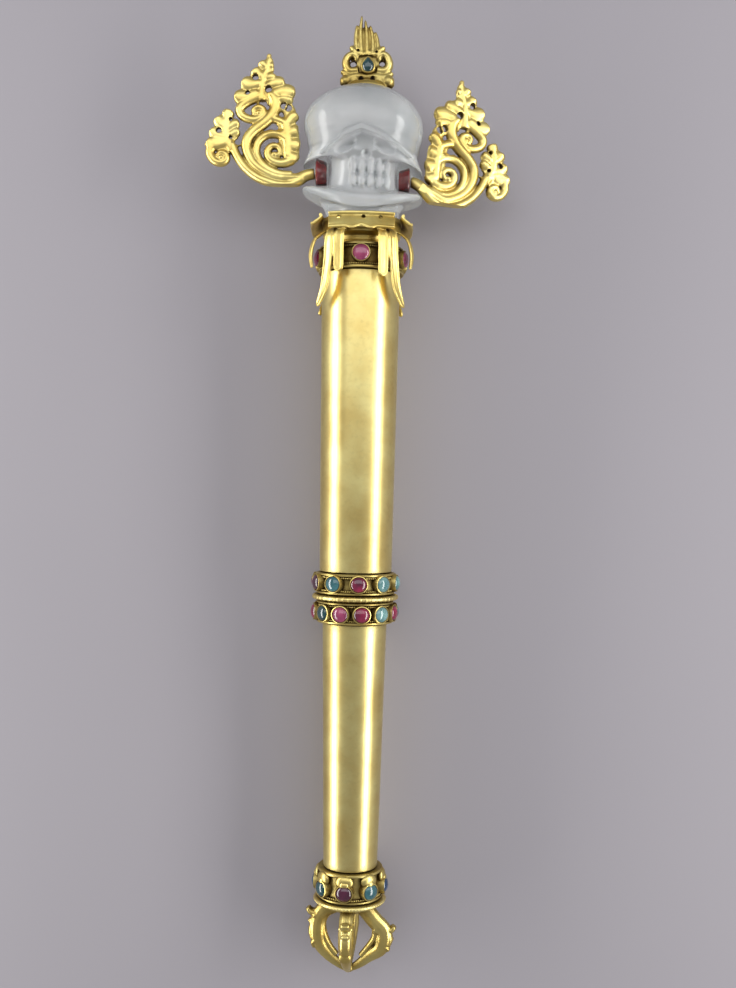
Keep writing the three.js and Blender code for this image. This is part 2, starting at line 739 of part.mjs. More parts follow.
function crystalSkull() {
  const body = solidOf(skinOver(skullRings().map((ring) => skullRing(ring, SKULL_FACETS))));
  const carved = body.subtract(eyeHollow(-1)).subtract(eyeHollow(1)).subtract(noseHollow());
  const seated = carved
    .add(toothRows())
    .subtract(solidOf(bossShape(-1, LEFT_BOSS, FIT_GAP)))
    .subtract(solidOf(bossShape(1, RIGHT_BOSS, FIT_GAP)));
  return withRestFlat(seated);
}

// Red bosses. With a gap, the shape is the boss's room in the notch.

function bossShape(side, { radius, height }, gap = 0) {
  const length = BOSS_THICKNESS + 2 * gap;
  const cone = new THREE.CylinderGeometry(radius - BOSS_TAPER + gap, radius + gap, length, 16);
  cone.rotateZ(-side * (Math.PI / 2));
  const centre = side * (NOTCH_HALF_WIDTH + FIT_GAP + BOSS_THICKNESS / 2);
  return cone.translate(centre, skullFoot + height, BOSS_FORWARD);
}

// Flame scrolls, drawn to the right of their boss in hundredths of their height.

const facingFront = () => new THREE.Vector3(0, 0, 1);

function flatPath(points, unit) {
  return new THREE.CatmullRomCurve3(points.map(([u, v]) => new THREE.Vector3(u * unit, v * unit, 0)));
}

function strand(points, unit, from, to, steps, depth = SCROLL_HALF_DEPTH, sides = 4) {
  const width = (u) => (from + (to - from) * u) * unit;
  return sweptBar({
    path: flatPath(points, unit),
    steps,
    sides,
    halfWidth: width,
    halfDepth: (u) => Math.max(depth * 0.7, Math.min(depth, width(u) * 1.1)),
    depthWay: facingFront,
  });
}

function lobe([u, v], radius, unit, depth = SCROLL_HALF_DEPTH) {
  const ball = new THREE.SphereGeometry(1, LOBE_FACETS, 3);
  ball.rotateX(Math.PI / 2);
  ball.scale(radius * unit, radius * unit, depth * 0.9);
  return ball.translate(u * unit, v * unit, 0);
}

// A volute winds inwards from its start angle to its eye.
function volute([u, v], outer, startDeg, turns, thickness, unit, steps) {
  const points = [];
  for (let i = 0; i <= steps; i += 1) {
    const share = i / steps;
    const angle = THREE.MathUtils.degToRad(startDeg) + share * turns * 2 * Math.PI;
    const radius = outer * (1 - share) + 1 * share;
    points.push([u + Math.cos(angle) * radius, v + Math.sin(angle) * radius]);
  }
  return strand(points, unit, thickness, thickness * 0.8, steps);
}

function scrollBody(sag, unit) {
  const low = (points, count) => points.map(([u, v], i) => [u, v + (i < count ? sag : 0)]);
  const outerStrand = [[18, -4], [29, -5], [39, -2], [50, 4], [57, 12], [62, 21], [67, 32]];
  const innerStrand = [
    [18, -3], [31, 1], [42, 8], [49, 17], [51, 26],
    [47, 33], [39, 39], [33, 45], [31, 53], [38, 64],
  ];
  const leafStrand = [[30, 2], [39, 9], [45, 17], [45, 24], [39, 31], [31, 33], [22, 32]];
  const pieces = [
    strand(low(outerStrand, 3), unit, 4, 3.4, 7, SCROLL_HALF_DEPTH, 5),
    strand(low(innerStrand, 2), unit, 4, 5, 9),
    strand(low(leafStrand, 1), unit, 2.6, 4, 6),
    strand([[38.5, 56], [39, 64], [40, 73], [37, 82], [35, 91]], unit, 17, 1.2, 4),
    strand([[25, 38], [20, 31], [18, 22], [22, 12]], unit, 5.4, 4.6, 4),
    strand([[62, 19], [69, 29], [67, 44]], unit, 7, 5.6, 3),
    strand([[27, 36], [21, 42], [17, 48]], unit, 3, 3.4, 2),
    volute([31, 18], 7.4, 200, 1.15, 2.6, unit, 7),
    volute([45, 47], 7, -10, -1.1, 2.6, unit, 7),
    volute([71, 15], 6.2, 40, -0.9, 2.6, unit, 5),
  ];
  const crownLeft = [[55, 51], [56, 60], [53, 68], [47, 75], [42, 81]];
  const crownRight = [[23, 59], [26, 66], [30, 73], [33, 80]];
  const leafLobes = [[17, 47], [15, 35], [14, 23], [18, 12]];
  const clusterLobes = [[66, 47], [73, 40], [77, 31], [76, 22], [61, 35]];
  crownLeft.forEach((place, i) => pieces.push(lobe(place, 6 - 0.5 * i, unit)));
  crownRight.forEach((place, i) => pieces.push(lobe(place, 5.8 - 0.6 * i, unit)));
  leafLobes.forEach((place) => pieces.push(lobe(place, 5.4, unit)));
  clusterLobes.forEach((place) => pieces.push(lobe(place, 5.6, unit)));
  const holes = [[45, 72], [35.5, 63], [72, 34], [30, 38]].map(([u, v]) => {
    const pin = new THREE.CylinderGeometry(1.9 * unit, 1.9 * unit, 4 * SCROLL_HALF_DEPTH, 5);
    pin.rotateX(Math.PI / 2);
    return pin.translate(u * unit, v * unit, 0);
  });
  return joined(pieces).subtract(joined(holes));
}

function flameScroll(side, boss, { height, yawDeg, rollDeg, rootOut, rootUp, sag }) {
  const unit = height / 100;
  const root = new THREE.Vector3(20 * unit, -4 * unit, 0);
  const place = new THREE.Matrix4()
    .makeTranslation(rootOut, rootUp, 0)
    .multiply(new THREE.Matrix4().makeRotationZ(THREE.MathUtils.degToRad(rollDeg)))
    .multiply(new THREE.Matrix4().makeRotationY(THREE.MathUtils.degToRad(yawDeg)))
    .multiply(new THREE.Matrix4().makeTranslation(-root.x, -root.y, -root.z));
  const body = geometryOf(scrollBody(sag, unit)).applyMatrix4(place);
  const join = new THREE.Vector3(27 * unit, (sag - 4.4) * unit, 0).applyMatrix4(place);
  const bend = new THREE.Vector3(14 * unit, (sag - 2.4) * unit, 0).applyMatrix4(place);
  const straight = new THREE.Vector3(ARM_STRAIGHT, bend.y * 0.16, 0);
  const arm = sweptBar({
    path: new THREE.CatmullRomCurve3([new THREE.Vector3(-1, 0, 0), straight, bend, join]),
    steps: 5,
    sides: 6,
    halfWidth: () => 4.4 * unit,
    halfDepth: () => 4.4 * unit,
    depthWay: facingFront,
  });
  const behind = new THREE.BoxGeometry(height, height, height);
  behind.translate(-height / 2, 0, 0);
  const whole = geometryOf(joined([body, arm]).subtract(solidOf(behind)));
  const seat = NOTCH_HALF_WIDTH + FIT_GAP + BOSS_THICKNESS + FIT_GAP;
  whole.translate(seat, skullFoot + boss.height, BOSS_FORWARD);
  return side > 0 ? whole : mirroredAcross(whole);
}

// Crown finial, drawn in hundredths of its height above its seat.

function crownFinial() {
  const unit = FINIAL_HEIGHT / 100;
  const depth = FINIAL_HALF_DEPTH;
  const seat = turned(
    [
      [0, 0],
      [CROWN_FLAT_RADIUS, 0],
      [CROWN_FLAT_RADIUS * 0.8, 9 * unit],
      [0, 11 * unit],
    ],
    12,
  );
  seat.scale(1.15, 1, 0.8);
  const heart = new THREE.SphereGeometry(1, 8, 4);
  heart.rotateX(Math.PI / 2);
  heart.scale(19 * unit, 21 * unit, depth * 0.8);
  heart.translate(0, 36 * unit, 0);
  const pieces = [
    seat,
    heart,
    strand([[0, 46], [0, 66], [-1, 84], [-3, 99]], unit, 9, 1.4, 4, depth),
    strand([[-8, 50], [-12, 66], [-10, 78], [-6, 90]], unit, 6, 1.6, 4, depth),
    strand([[8, 50], [12, 64], [11, 76], [6, 88]], unit, 6, 1.6, 4, depth),
  ];
  for (const side of [-1, 1]) {
    pieces.push(strand([[side * 12, 54], [side * 19, 60], [side * 25, 66]], unit, 6, 3.4, 3, depth));
    pieces.push(
      strand(
        [[side * 16, 48], [side * 28, 48], [side * 34, 38], [side * 29, 29], [side * 20, 28]],
        unit, 5, 4.4, 5, depth,
      ),
    );
    pieces.push(lobe([side * 31, 12], 9.6, unit, depth * 1.4));
    pieces.push(lobe([side * 16, 14], 9, unit, depth * 1.5));
    pieces.push(strand([[side * 26, 18], [side * 34, 24], [side * 39, 28]], unit, 5, 2.4, 3, depth));
  }
  const whole = joined(pieces);
  const floor = new THREE.BoxGeometry(4 * FINIAL_HEIGHT, FINIAL_HEIGHT, FINIAL_HEIGHT);
  floor.translate(0, -FINIAL_HEIGHT / 2, 0);
  const trimmed = whole.subtract(solidOf(floor));
  const bezelStub = gemDome(CROWN_GEM_WIDTH + 2, CROWN_GEM_HEIGHT + 2, 0.9, GEM_FACETS);
  bezelStub.translate(0, 36 * unit, depth * 0.72);
  const stone = crownStone(unit, depth);
  const pocket = solidOf(crownStone(unit, depth, FIT_GAP));
  addPiece("crown_gem", stone, turquoise);
  const geometry = geometryOf(trimmed.add(solidOf(bezelStub)).subtract(pocket));
  return geometry.translate(FINIAL_OFFSET, crownHeight + FIT_GAP, 0);
}

function crownStone(unit, depth, gap = 0) {
  const width = CROWN_GEM_WIDTH + 2 * gap;
  const height = CROWN_GEM_HEIGHT + 2 * gap;
  const stone = gemDome(width, height, CROWN_GEM_DEPTH, GEM_FACETS);
  const position = stone.attributes.position;
  for (let i = 0; i < position.count; i += 1) {
    const y = position.getY(i);
    const pull = y > 0 ? 1 - (0.85 * y) / height : 1;
    position.setX(i, position.getX(i) * pull);
  }
  stone.translate(0, 35 * unit, depth * 0.72 - gap);
  return gap === 0 ? stone.translate(FINIAL_OFFSET, crownHeight + FIT_GAP, 0) : stone;
}

// The pieces

addPiece("half_vajra", geometryOf(halfVajra()), gilt);
addPiece("foot_bead_ring", beadRing(FOOT_RING_RADIUS, FOOT_RING_HEIGHT, footRingFoot), gilt);
const footStones = stonesOf("RTTRTRTT");
gemBand("foot", footBandFoot, FOOT_BAND, FOOT_GEM_COUNT, FOOT_GEM_TURN_DEG, footStones, footPetals());
addPiece(
  "lower_shaft",
  shaft(lowerShaftFoot, LOWER_SHAFT_LENGTH, LOWER_SHAFT_BOTTOM_RADIUS, LOWER_SHAFT_TOP_RADIUS),
  gilt,
);
const lowerStones = stonesOf("RTRTRTRTTRTR");
gemBand("lower_mid", lowerBandFoot, LOWER_MID_BAND, LOWER_GEM_COUNT, LOWER_GEM_TURN_DEG, lowerStones);
addPiece("mid_bead_ring", beadRing(MID_RING_RADIUS, MID_RING_HEIGHT, midRingFoot), gilt);
const upperStones = stonesOf("RTTRTRTRRT");
gemBand("upper_mid", upperBandFoot, UPPER_MID_BAND, UPPER_GEM_COUNT, UPPER_GEM_TURN_DEG, upperStones);
addPiece(
  "upper_shaft",
  shaft(upperShaftFoot, UPPER_SHAFT_LENGTH, UPPER_SHAFT_BOTTOM_RADIUS, UPPER_SHAFT_TOP_RADIUS),
  gilt,
);
gemBand("top", topBandFoot, TOP_BAND, TOP_GEM_COUNT, TOP_GEM_TURN_DEG, stonesOf("RRRTRRRRRR"));
addPiece("ribbon_collar", geometryOf(ribbonCollar()), gilt);
addPiece("crystal_skull", geometryOf(crystalSkull()), crystal);
addPiece("left_red_boss", bossShape(-1, LEFT_BOSS), coral);
addPiece("right_red_boss", bossShape(1, RIGHT_BOSS), coral);
addPiece("left_flame_scroll", flameScroll(-1, LEFT_BOSS, LEFT_SCROLL), gilt);
addPiece("right_flame_scroll", flameScroll(1, RIGHT_BOSS, RIGHT_SCROLL), gilt);
addPiece("crown_finial", crownFinial(), gilt);

// Laid down on its back: turned so that the resting plane is level, with the origin in the
// middle of the floor that it covers.
sceptre.rotation.x = lieAngle;
group.updateMatrixWorld(true);
const extent = new THREE.Box3().setFromObject(sceptre, true);
const middle = extent.getCenter(new THREE.Vector3());
sceptre.position.set(-middle.x, -middle.y, -extent.min.z);
group.updateMatrixWorld(true);

export default group;
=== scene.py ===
"""Dresses a ceremonial sceptre: a rock-crystal skull on a gilt staff, lying on its back."""

from math import cos, pi, radians, sin, sqrt

import bmesh
import bpy
from bpy.props import FloatProperty, FloatVectorProperty, IntProperty, PointerProperty
from bpy.types import Operator, Panel, PropertyGroup
from mathutils import Matrix, Vector, noise
from mathutils.geometry import interpolate_bezier


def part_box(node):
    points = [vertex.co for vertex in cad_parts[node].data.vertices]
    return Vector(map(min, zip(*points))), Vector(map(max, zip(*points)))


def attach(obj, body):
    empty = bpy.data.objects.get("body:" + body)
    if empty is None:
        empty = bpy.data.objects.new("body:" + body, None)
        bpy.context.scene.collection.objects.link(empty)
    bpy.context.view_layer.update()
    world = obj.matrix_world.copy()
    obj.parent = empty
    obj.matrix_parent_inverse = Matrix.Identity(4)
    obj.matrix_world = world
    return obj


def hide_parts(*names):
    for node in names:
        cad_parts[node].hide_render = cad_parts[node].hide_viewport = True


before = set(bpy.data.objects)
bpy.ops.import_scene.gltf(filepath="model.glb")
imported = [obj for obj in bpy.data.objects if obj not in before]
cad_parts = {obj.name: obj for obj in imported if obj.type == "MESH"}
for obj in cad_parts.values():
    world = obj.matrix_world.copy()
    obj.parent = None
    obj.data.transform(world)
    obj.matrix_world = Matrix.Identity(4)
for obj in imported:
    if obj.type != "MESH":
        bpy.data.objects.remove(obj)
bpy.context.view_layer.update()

bl_info = {
    "name": "Crystal-headed Sceptre",
    "version": (1, 0, 0),
    "blender": (4, 5, 0),
    "location": "3D View > Sidebar > Sceptre",
    "description": "Models and finishes a gilt sceptre with a carved crystal skull",
    "category": "Object",
}

# The sceptre is drawn in millimetres, standing: X to the right, Y from the vajra's tip
# towards the crown, Z to the front. STANDING_TO_LYING puts it down on its back, in metres.
LYING_TILT = 0.0211065
TIP_PLACE = (0.001042, -0.2248207, 0.0194708)
STANDING_TO_LYING = (
    Matrix.Translation(TIP_PLACE) @ Matrix.Rotation(LYING_TILT, 4, "X") @ Matrix.Scale(0.001, 4)
)
FRONT = Vector((0, 0, 1))

# Heights along the axis, in millimetres from the vajra's tip.
VAJRA_TOP = 33.9
FOOT_RING_FOOT = 34.2
FOOT_BAND_FOOT = 37.2
LOWER_SHAFT_FOOT = 51.0
LOWER_SHAFT_TOP = 166.0
LOWER_BAND_FOOT = 166.3
MID_RING_FOOT = 176.7
UPPER_BAND_FOOT = 179.9
UPPER_SHAFT_FOOT = 189.9
UPPER_SHAFT_TOP = 329.9
TOP_BAND_FOOT = 330.2
COLLAR_FOOT = 342.3
COLLAR_TOP = 355.3
SKULL_FOOT = 348.1
CROWN_SEAT = 418.3

# The bosses beside the jaw: side, height above the neck's foot and radius. Their sockets in
# the crystal are a little wider, and their middles stand forward of the staff's axis.
BOSSES = {"left": (-1, 28.1, 7.0), "right": (1, 25.1, 6.4)}
BOSS_FORWARD = 6
SOCKET_CLEARANCE = 0.3
# The head is tilted: each millimetre to the right lies lower by this much.
HEAD_LEAN = 0.0577
CREASE_ANGLE = 38

# The view: how far it turns, what it looks at on the staff's front and from how far.
VIEW_ROLL = 1.06
VIEW_MIDDLE = (5.2, 226.6)
VIEW_DISTANCE = 512


# Shapes


def on_staff(angle_deg, radius, height):
    """A point on the staff's side."""
    angle = radians(angle_deg)
    return Vector((sin(angle) * radius, height, cos(angle) * radius))


def outward(point):
    """Straight out from the staff's axis."""
    return Vector((point.x, 0, point.z)).normalized()


def smooth_path(points, per_span=6):
    """Points along a smooth curve through the given points."""
    knots = [Vector(point) for point in points]
    path = []
    for i in range(len(knots) - 1):
        start, end = knots[i], knots[i + 1]
        before = knots[i - 1] if i > 0 else start
        after = knots[i + 2] if i + 2 < len(knots) else end
        span = interpolate_bezier(
            start, start + (end - before) / 6, end - (after - start) / 6, end, per_span + 1
        )
        path.extend(span[:-1])
    path.append(knots[-1])
    return path


def ring_edges(ring):
    """The edges that join the points of one ring."""
    members = set(ring)
    return list({edge for vert in ring for edge in vert.link_edges if edge.other_vert(vert) in members})


def grow_ring(bm, ring):
    """Extrudes a ring of points and returns the new ring."""
    grown = bmesh.ops.extrude_edge_only(bm, edges=ring_edges(ring))
    return [item for item in grown["geom"] if isinstance(item, bmesh.types.BMVert)]


def move_since(bm, before, place):
    """Moves every point that isn't in the noted ones."""
    made = [vert for vert in bm.verts if vert not in before]
    bmesh.ops.transform(bm, matrix=place, verts=made)


def cap_ring(bm, ring):
    """Closes the open end at a ring."""
    bmesh.ops.edgeloop_fill(bm, edges=ring_edges(ring))


def sweep(bm, path, half_width, half_depth, sides=10, facing=FRONT):
    """A closed bar along a path; the sizes are functions of the share of its length."""
    last = len(path) - 1
    placed = None
    for i, point in enumerate(path):
        along = (path[min(i + 1, last)] - path[max(i - 1, 0)]).normalized()
        outward = facing(point) if callable(facing) else facing
        depth = (outward - along * outward.dot(along)).normalized()
        width = depth.cross(along)
        share = i / last
        axes = Matrix((width * half_width(share), depth * half_depth(share), along))
        place = axes.transposed().to_4x4()
        place.translation = point
        if placed is None:
            ring = bmesh.ops.create_circle(bm, segments=sides, radius=1, matrix=place)["verts"]
            cap_ring(bm, ring)
        else:
            ring = grow_ring(bm, ring)
            bmesh.ops.transform(bm, matrix=place @ placed.inverted(), verts=ring)
        placed = place
    cap_ring(bm, ring)


def tapering(start, end):
    """A size that runs evenly from start to end."""
    return lambda share: start + (end - start) * share


def rounded_tip(start, end, tip=0.3):
    """A size that runs from start to end and closes in a round tip."""

    def size(share):
        plain = start + (end - start) * share
        if share < 1 - tip:
            return plain
        over = (share - 1 + tip) / tip
        return plain * max(0.22, sqrt(max(0.0, 1 - over * over * 0.96)))

    return size


def swelling(start, end):
    """A size that swells from start to end and closes in a round tip."""

    def size(share):
        body = start + (end - start) * min(1, share / 0.62)
        over = max(0.0, (share - 0.62) / 0.38)
        return body * max(0.2, sqrt(max(0.0, 1 - over * over)))

    return size


def fined_down(size, rate):
    """A size that stays even along the first part and then runs down."""
    return lambda share: size * (1 if share < 0.45 else 1 - (share - 0.45) * rate)


def lathe(bm, profile, steps=96, axis=(0, 1, 0), place=None):
    """Turns a profile of (radius, height) about Y, or about Z where the axis says so."""
    before = set(bm.verts)
    upright = axis[1] == 1
    verts = []
    for radius, height in profile:
        spot = Vector((radius, height, 0)) if upright else Vector((radius, 0, height))
        verts.append(bm.verts.new(spot))
    edges = [bm.edges.new(pair) for pair in zip(verts, verts[1:])]
    bmesh.ops.spin(
        bm, geom=verts + edges, cent=(0, 0, 0), axis=axis, angle=2 * pi, steps=steps, use_merge=True
    )
    made = [vert for vert in bm.verts if vert not in before]
    bmesh.ops.remove_doubles(bm, verts=made, dist=1e-4)
    if place is not None:
        move_since(bm, before, place)


def drill(bm, place, radius, depth, segments=16):
    """A round bar to cut with, along the Z of its place."""
    bmesh.ops.create_cone(
        bm, cap_ends=True, segments=segments, radius1=radius, radius2=radius, depth=depth, matrix=place
    )


def ball(bm, place, segments=16, rings=10):
    """A round knob set by a matrix."""
    bmesh.ops.create_uvsphere(bm, u_segments=segments, v_segments=rings, radius=1, matrix=place)


def at(point, size, turn=None):
    """A matrix that puts a unit shape at a point with three half sizes."""
    placed = Matrix.Translation(point)
    if turn is not None:
        placed = placed @ turn
    return placed @ Matrix.Diagonal((*size, 1))


def around(angle_deg, radius, height):
    """A matrix on the staff's side: its Z looks outwards and its Y along the staff."""
    turn = Matrix.Rotation(radians(angle_deg), 4, "Y")
    return Matrix.Translation(on_staff(angle_deg, radius, height)) @ turn


def beads_round(bm, radius, height, bead, squeeze=1.0):
    """A ring of touching beads round the staff."""
    count = round(2 * pi * radius / (2 * bead * 0.97))
    for i in range(count):
        place = around(360 * i / count, radius, height) @ Matrix.Diagonal((bead, bead * squeeze, bead, 1))
        bmesh.ops.create_icosphere(bm, subdivisions=2, radius=1, matrix=place)


def mark_creases(bm):
    """Edges that turn more than the crease angle are shaded sharp."""
    limit = radians(CREASE_ANGLE)
    for face in bm.faces:
        face.smooth = True
    for edge in bm.edges:
        edge.smooth = len(edge.link_faces) != 2 or edge.calc_face_angle(0) < limit


def as_piece(name, bm, material, slot, nodes=(), place=STANDING_TO_LYING):
    """Makes the mesh a finished piece that lies with the sceptre."""
    bmesh.ops.recalc_face_normals(bm, faces=bm.faces)
    mark_creases(bm)
    if place is not None:
        bmesh.ops.transform(bm, matrix=place, verts=bm.verts)
    mesh = bpy.data.meshes.new(name)
    bm.to_mesh(mesh)
    bm.free()
    mesh.materials.append(material)
    piece = bpy.data.objects.new(name, mesh)
    bpy.context.scene.collection.objects.link(piece)
    if slot:
        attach(piece, "root")
        if nodes:
            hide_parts(*nodes)
    return piece


def apply_modifiers(piece):
    """Turns a piece's modifiers into mesh."""
    bpy.context.view_layer.update()
    depsgraph = bpy.context.evaluated_depsgraph_get()
    shaped = bpy.data.meshes.new_from_object(piece.evaluated_get(depsgraph))
    piece.modifiers.clear()
    old = piece.data
    piece.data = shaped
    bpy.data.meshes.remove(old)


def cast_in_one(piece, grain_mm, rounds):
    """Melts a piece's overlapping parts into one skin and softens it."""
    melt = piece.modifiers.new("Melt", "REMESH")
    melt.mode = "VOXEL"
    melt.voxel_size = grain_mm * 0.001
    melt.use_smooth_shade = True
    soften = piece.modifiers.new("Soften", "SMOOTH")
    soften.factor = 0.5
    soften.iterations = rounds
    apply_modifiers(piece)


def cut_by(piece, cutter_bm):
    """Cuts a solid out of a piece."""
    bmesh.ops.recalc_face_normals(cutter_bm, faces=cutter_bm.faces)
    bmesh.ops.transform(cutter_bm, matrix=STANDING_TO_LYING, verts=cutter_bm.verts)
    mesh = bpy.data.meshes.new("cutter")
    cutter_bm.to_mesh(mesh)
    cutter_bm.free()
    cutter = bpy.data.objects.new("cutter", mesh)
    bpy.context.scene.collection.objects.link(cutter)
    cut = piece.modifiers.new("Cut", "BOOLEAN")
    cut.operation = "DIFFERENCE"
    cut.solver = "MANIFOLD"
    cut.object = cutter
    apply_modifiers(piece)
    bpy.data.objects.remove(cutter)
    bpy.data.meshes.remove(mesh)


def trim_to_box(piece, node, sides=(0, 1, 2)):
    """Keeps a piece inside the box of the solid that it stands for."""
    low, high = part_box(node)
    for vert in piece.data.vertices:
        for i in sides:
            vert.co[i] = min(max(vert.co[i], low[i]), high[i])


# Finishes


def grouped_effect(name, inputs, outputs):
    """A new shader node group with its named sockets and its two end nodes."""
    group = bpy.data.node_groups.new(name, "ShaderNodeTree")
    for label, kind, default in inputs:
        socket = group.interface.new_socket(name=label, in_out="INPUT", socket_type=kind)
        socket.default_value = default
    for label, kind in outputs:
        group.interface.new_socket(name=label, in_out="OUTPUT", socket_type=kind)
    return group, group.nodes.new("NodeGroupInput"), group.nodes.new("NodeGroupOutput")


def math_node(nodes, links, operation, first, second, clamp=False):
    """A Math node with two linked or plain inputs."""
    node = nodes.new("ShaderNodeMath")
    node.operation = operation
    node.use_clamp = clamp
    for socket, value in zip(node.inputs, (first, second)):
        if isinstance(value, (int, float)):
            socket.default_value = value
        else:
            links.new(value, socket)
    return node.outputs[0]


def mottle_group():
    """Uneven colour and hand-worked unevenness of the surface."""
    group, start, end = grouped_effect(
        "Mottle",
        [("Scale", "NodeSocketFloat", 60.0), ("Seed", "NodeSocketFloat", 0.0)],
        [("Broad", "NodeSocketFloat"), ("Fine", "NodeSocketFloat")],
    )
    nodes, links = group.nodes, group.links
    place = nodes.new("ShaderNodeTexCoord")
    for label, factor, detail in (("Broad", 1.0, 3.0), ("Fine", 9.0, 5.0)):
        cloud = nodes.new("ShaderNodeTexNoise")
        cloud.noise_dimensions = "4D"
        cloud.inputs["Detail"].default_value = detail
        links.new(place.outputs["Object"], cloud.inputs["Vector"])
        links.new(start.outputs["Seed"], cloud.inputs["W"])
        scale = math_node(nodes, links, "MULTIPLY", start.outputs["Scale"], factor)
        links.new(scale, cloud.inputs["Scale"])
        links.new(cloud.outputs["Fac"], end.inputs[label])
    return group


def recess_group():
    """A mask of the hollows, from ambient occlusion: where it is laid on, it darkens the colour as patina in
    the metal and as painted shade in hollows and between parts.
    """
    group, start, end = grouped_effect(
        "Recess",
        [
            ("Reach", "NodeSocketFloat", 0.003),
            ("Depth", "NodeSocketFloat", 1.0),
            ("Break-up", "NodeSocketFloat", 0.3),
        ],
        [("Mask", "NodeSocketFloat")],
    )
    nodes, links = group.nodes, group.links
    hollow = nodes.new("ShaderNodeAmbientOcclusion")
    hollow.samples = 8
    links.new(start.outputs["Reach"], hollow.inputs["Distance"])
    shade = math_node(nodes, links, "SUBTRACT", 1.0, hollow.outputs["AO"])
    place = nodes.new("ShaderNodeTexCoord")
    cloud = nodes.new("ShaderNodeTexNoise")
    cloud.inputs["Scale"].default_value = 420
    cloud.inputs["Detail"].default_value = 3
    links.new(place.outputs["Object"], cloud.inputs["Vector"])
    uneven = math_node(nodes, links, "SUBTRACT", cloud.outputs["Fac"], 0.5)
    uneven = math_node(nodes, links, "MULTIPLY", uneven, start.outputs["Break-up"])
    shade = math_node(nodes, links, "ADD", shade, uneven)
    shade = math_node(nodes, links, "MULTIPLY", shade, start.outputs["Depth"], clamp=True)
    links.new(shade, end.inputs["Mask"])
    return group


def effect(nodes, name, **values):
    """Places a shared effect in a material with its own values."""
    node = nodes.new("ShaderNodeGroup")
    node.node_tree = bpy.data.node_groups[name]
    for label, value in values.items():
        node.inputs[label].default_value = value
    return node


def ramp(nodes, links, source, stops):
    """A colour ramp over a mask."""
    node = nodes.new("ShaderNodeValToRGB")
    band = node.color_ramp
    while len(band.elements) < len(stops):
        band.elements.new(0.5)
    for element, (position, colour) in zip(band.elements, stops):
        element.position = position
        element.color = (*colour, 1)
    links.new(source, node.inputs["Fac"])
    return node.outputs["Color"]


def blend_colour(nodes, links, mask, first, second):
    """Mixes two colours, linked or plain, by a linked mask."""
    node = nodes.new("ShaderNodeMix")
    node.data_type = "RGBA"
    links.new(mask, node.inputs["Factor"])
    for label, value in (("A", first), ("B", second)):
        socket = next(item for item in node.inputs if item.name == label and item.type == "RGBA")
        if isinstance(value, bpy.types.NodeSocket):
            links.new(value, socket)
        else:
            socket.default_value = (*value, 1)
    return next(item for item in node.outputs if item.type == "RGBA")


def new_finish(name):
    """A material with an empty Principled BSDF; returns it with its nodes, links and shader."""
    finish = bpy.data.materials.new(name)
    finish.use_nodes = True
    nodes, links = finish.node_tree.nodes, finish.node_tree.links
    return finish, nodes, links, nodes["Principled BSDF"]


def bumped(nodes, links, shader, height, distance, strength):
    """Feeds a height to the shader's normal."""
    bump = nodes.new("ShaderNodeBump")
    bump.inputs["Distance"].default_value = distance
    bump.inputs["Strength"].default_value = strength
    links.new(height, bump.inputs["Height"])
    links.new(bump.outputs["Normal"], shader.inputs["Normal"])


def gilt_finish(name, colours, patina_and_shade, reach, roughness, seed, dent_mm):
    """Worn satin gilding, browner in the hollows: partly patina, partly painted shade where shade falls in
    hollows and between parts.
    """
    finish, nodes, links, shader = new_finish(name)
    shader.inputs["Metallic"].default_value = 1.0
    mottle = effect(nodes, "Mottle", Scale=70.0, Seed=seed)
    recess = effect(nodes, "Recess", Reach=reach, Depth=1.45)
    gold = ramp(nodes, links, mottle.outputs["Broad"], [(0.35, colours[0]), (0.65, colours[1])])
    # Patina and painted shade: the gold turns to the dark patina colour in the hollows, by the Recess mask.
    aged_and_shaded = blend_colour(nodes, links, recess.outputs["Mask"], gold, patina_and_shade)
    links.new(aged_and_shaded, shader.inputs["Base Color"])
    rough = math_node(nodes, links, "MULTIPLY", mottle.outputs["Broad"], 0.14)
    rough = math_node(nodes, links, "ADD", rough, roughness)
    worn = math_node(nodes, links, "MULTIPLY", recess.outputs["Mask"], 0.3)
    links.new(math_node(nodes, links, "ADD", rough, worn, clamp=True), shader.inputs["Roughness"])
    bumped(nodes, links, shader, mottle.outputs["Fine"], dent_mm * 0.001, 0.8)
    return finish


def crystal_finish(look):
    """Frosted rock crystal, cloudy inside, with painted shade in its hollows and the grooves between the
    teeth.
    """
    finish, nodes, links, shader = new_finish("Rock crystal")
    shader.inputs["Transmission Weight"].default_value = 0.7
    shader.inputs["IOR"].default_value = 1.45
    mottle = effect(nodes, "Mottle", Scale=45.0, Seed=3.0)
    recess = effect(nodes, "Recess", Reach=0.002, Depth=0.9)
    recess.inputs["Break-up"].default_value = 0
    tones = [(0.3, look.crystal_clouds_and_shade), (0.62, look.crystal)]
    cloud = ramp(nodes, links, mottle.outputs["Broad"], tones)
    # Painted shade: the crystal turns to the cloud colour in its hollows and between the teeth.
    cloud = blend_colour(nodes, links, recess.outputs["Mask"], cloud, look.crystal_clouds_and_shade)
    links.new(cloud, shader.inputs["Base Color"])
    rough = math_node(nodes, links, "MULTIPLY", mottle.outputs["Broad"], 0.16)
    links.new(math_node(nodes, links, "ADD", rough, 0.12), shader.inputs["Roughness"])
    bumped(nodes, links, shader, mottle.outputs["Broad"], 0.0004, 0.15)
    return finish


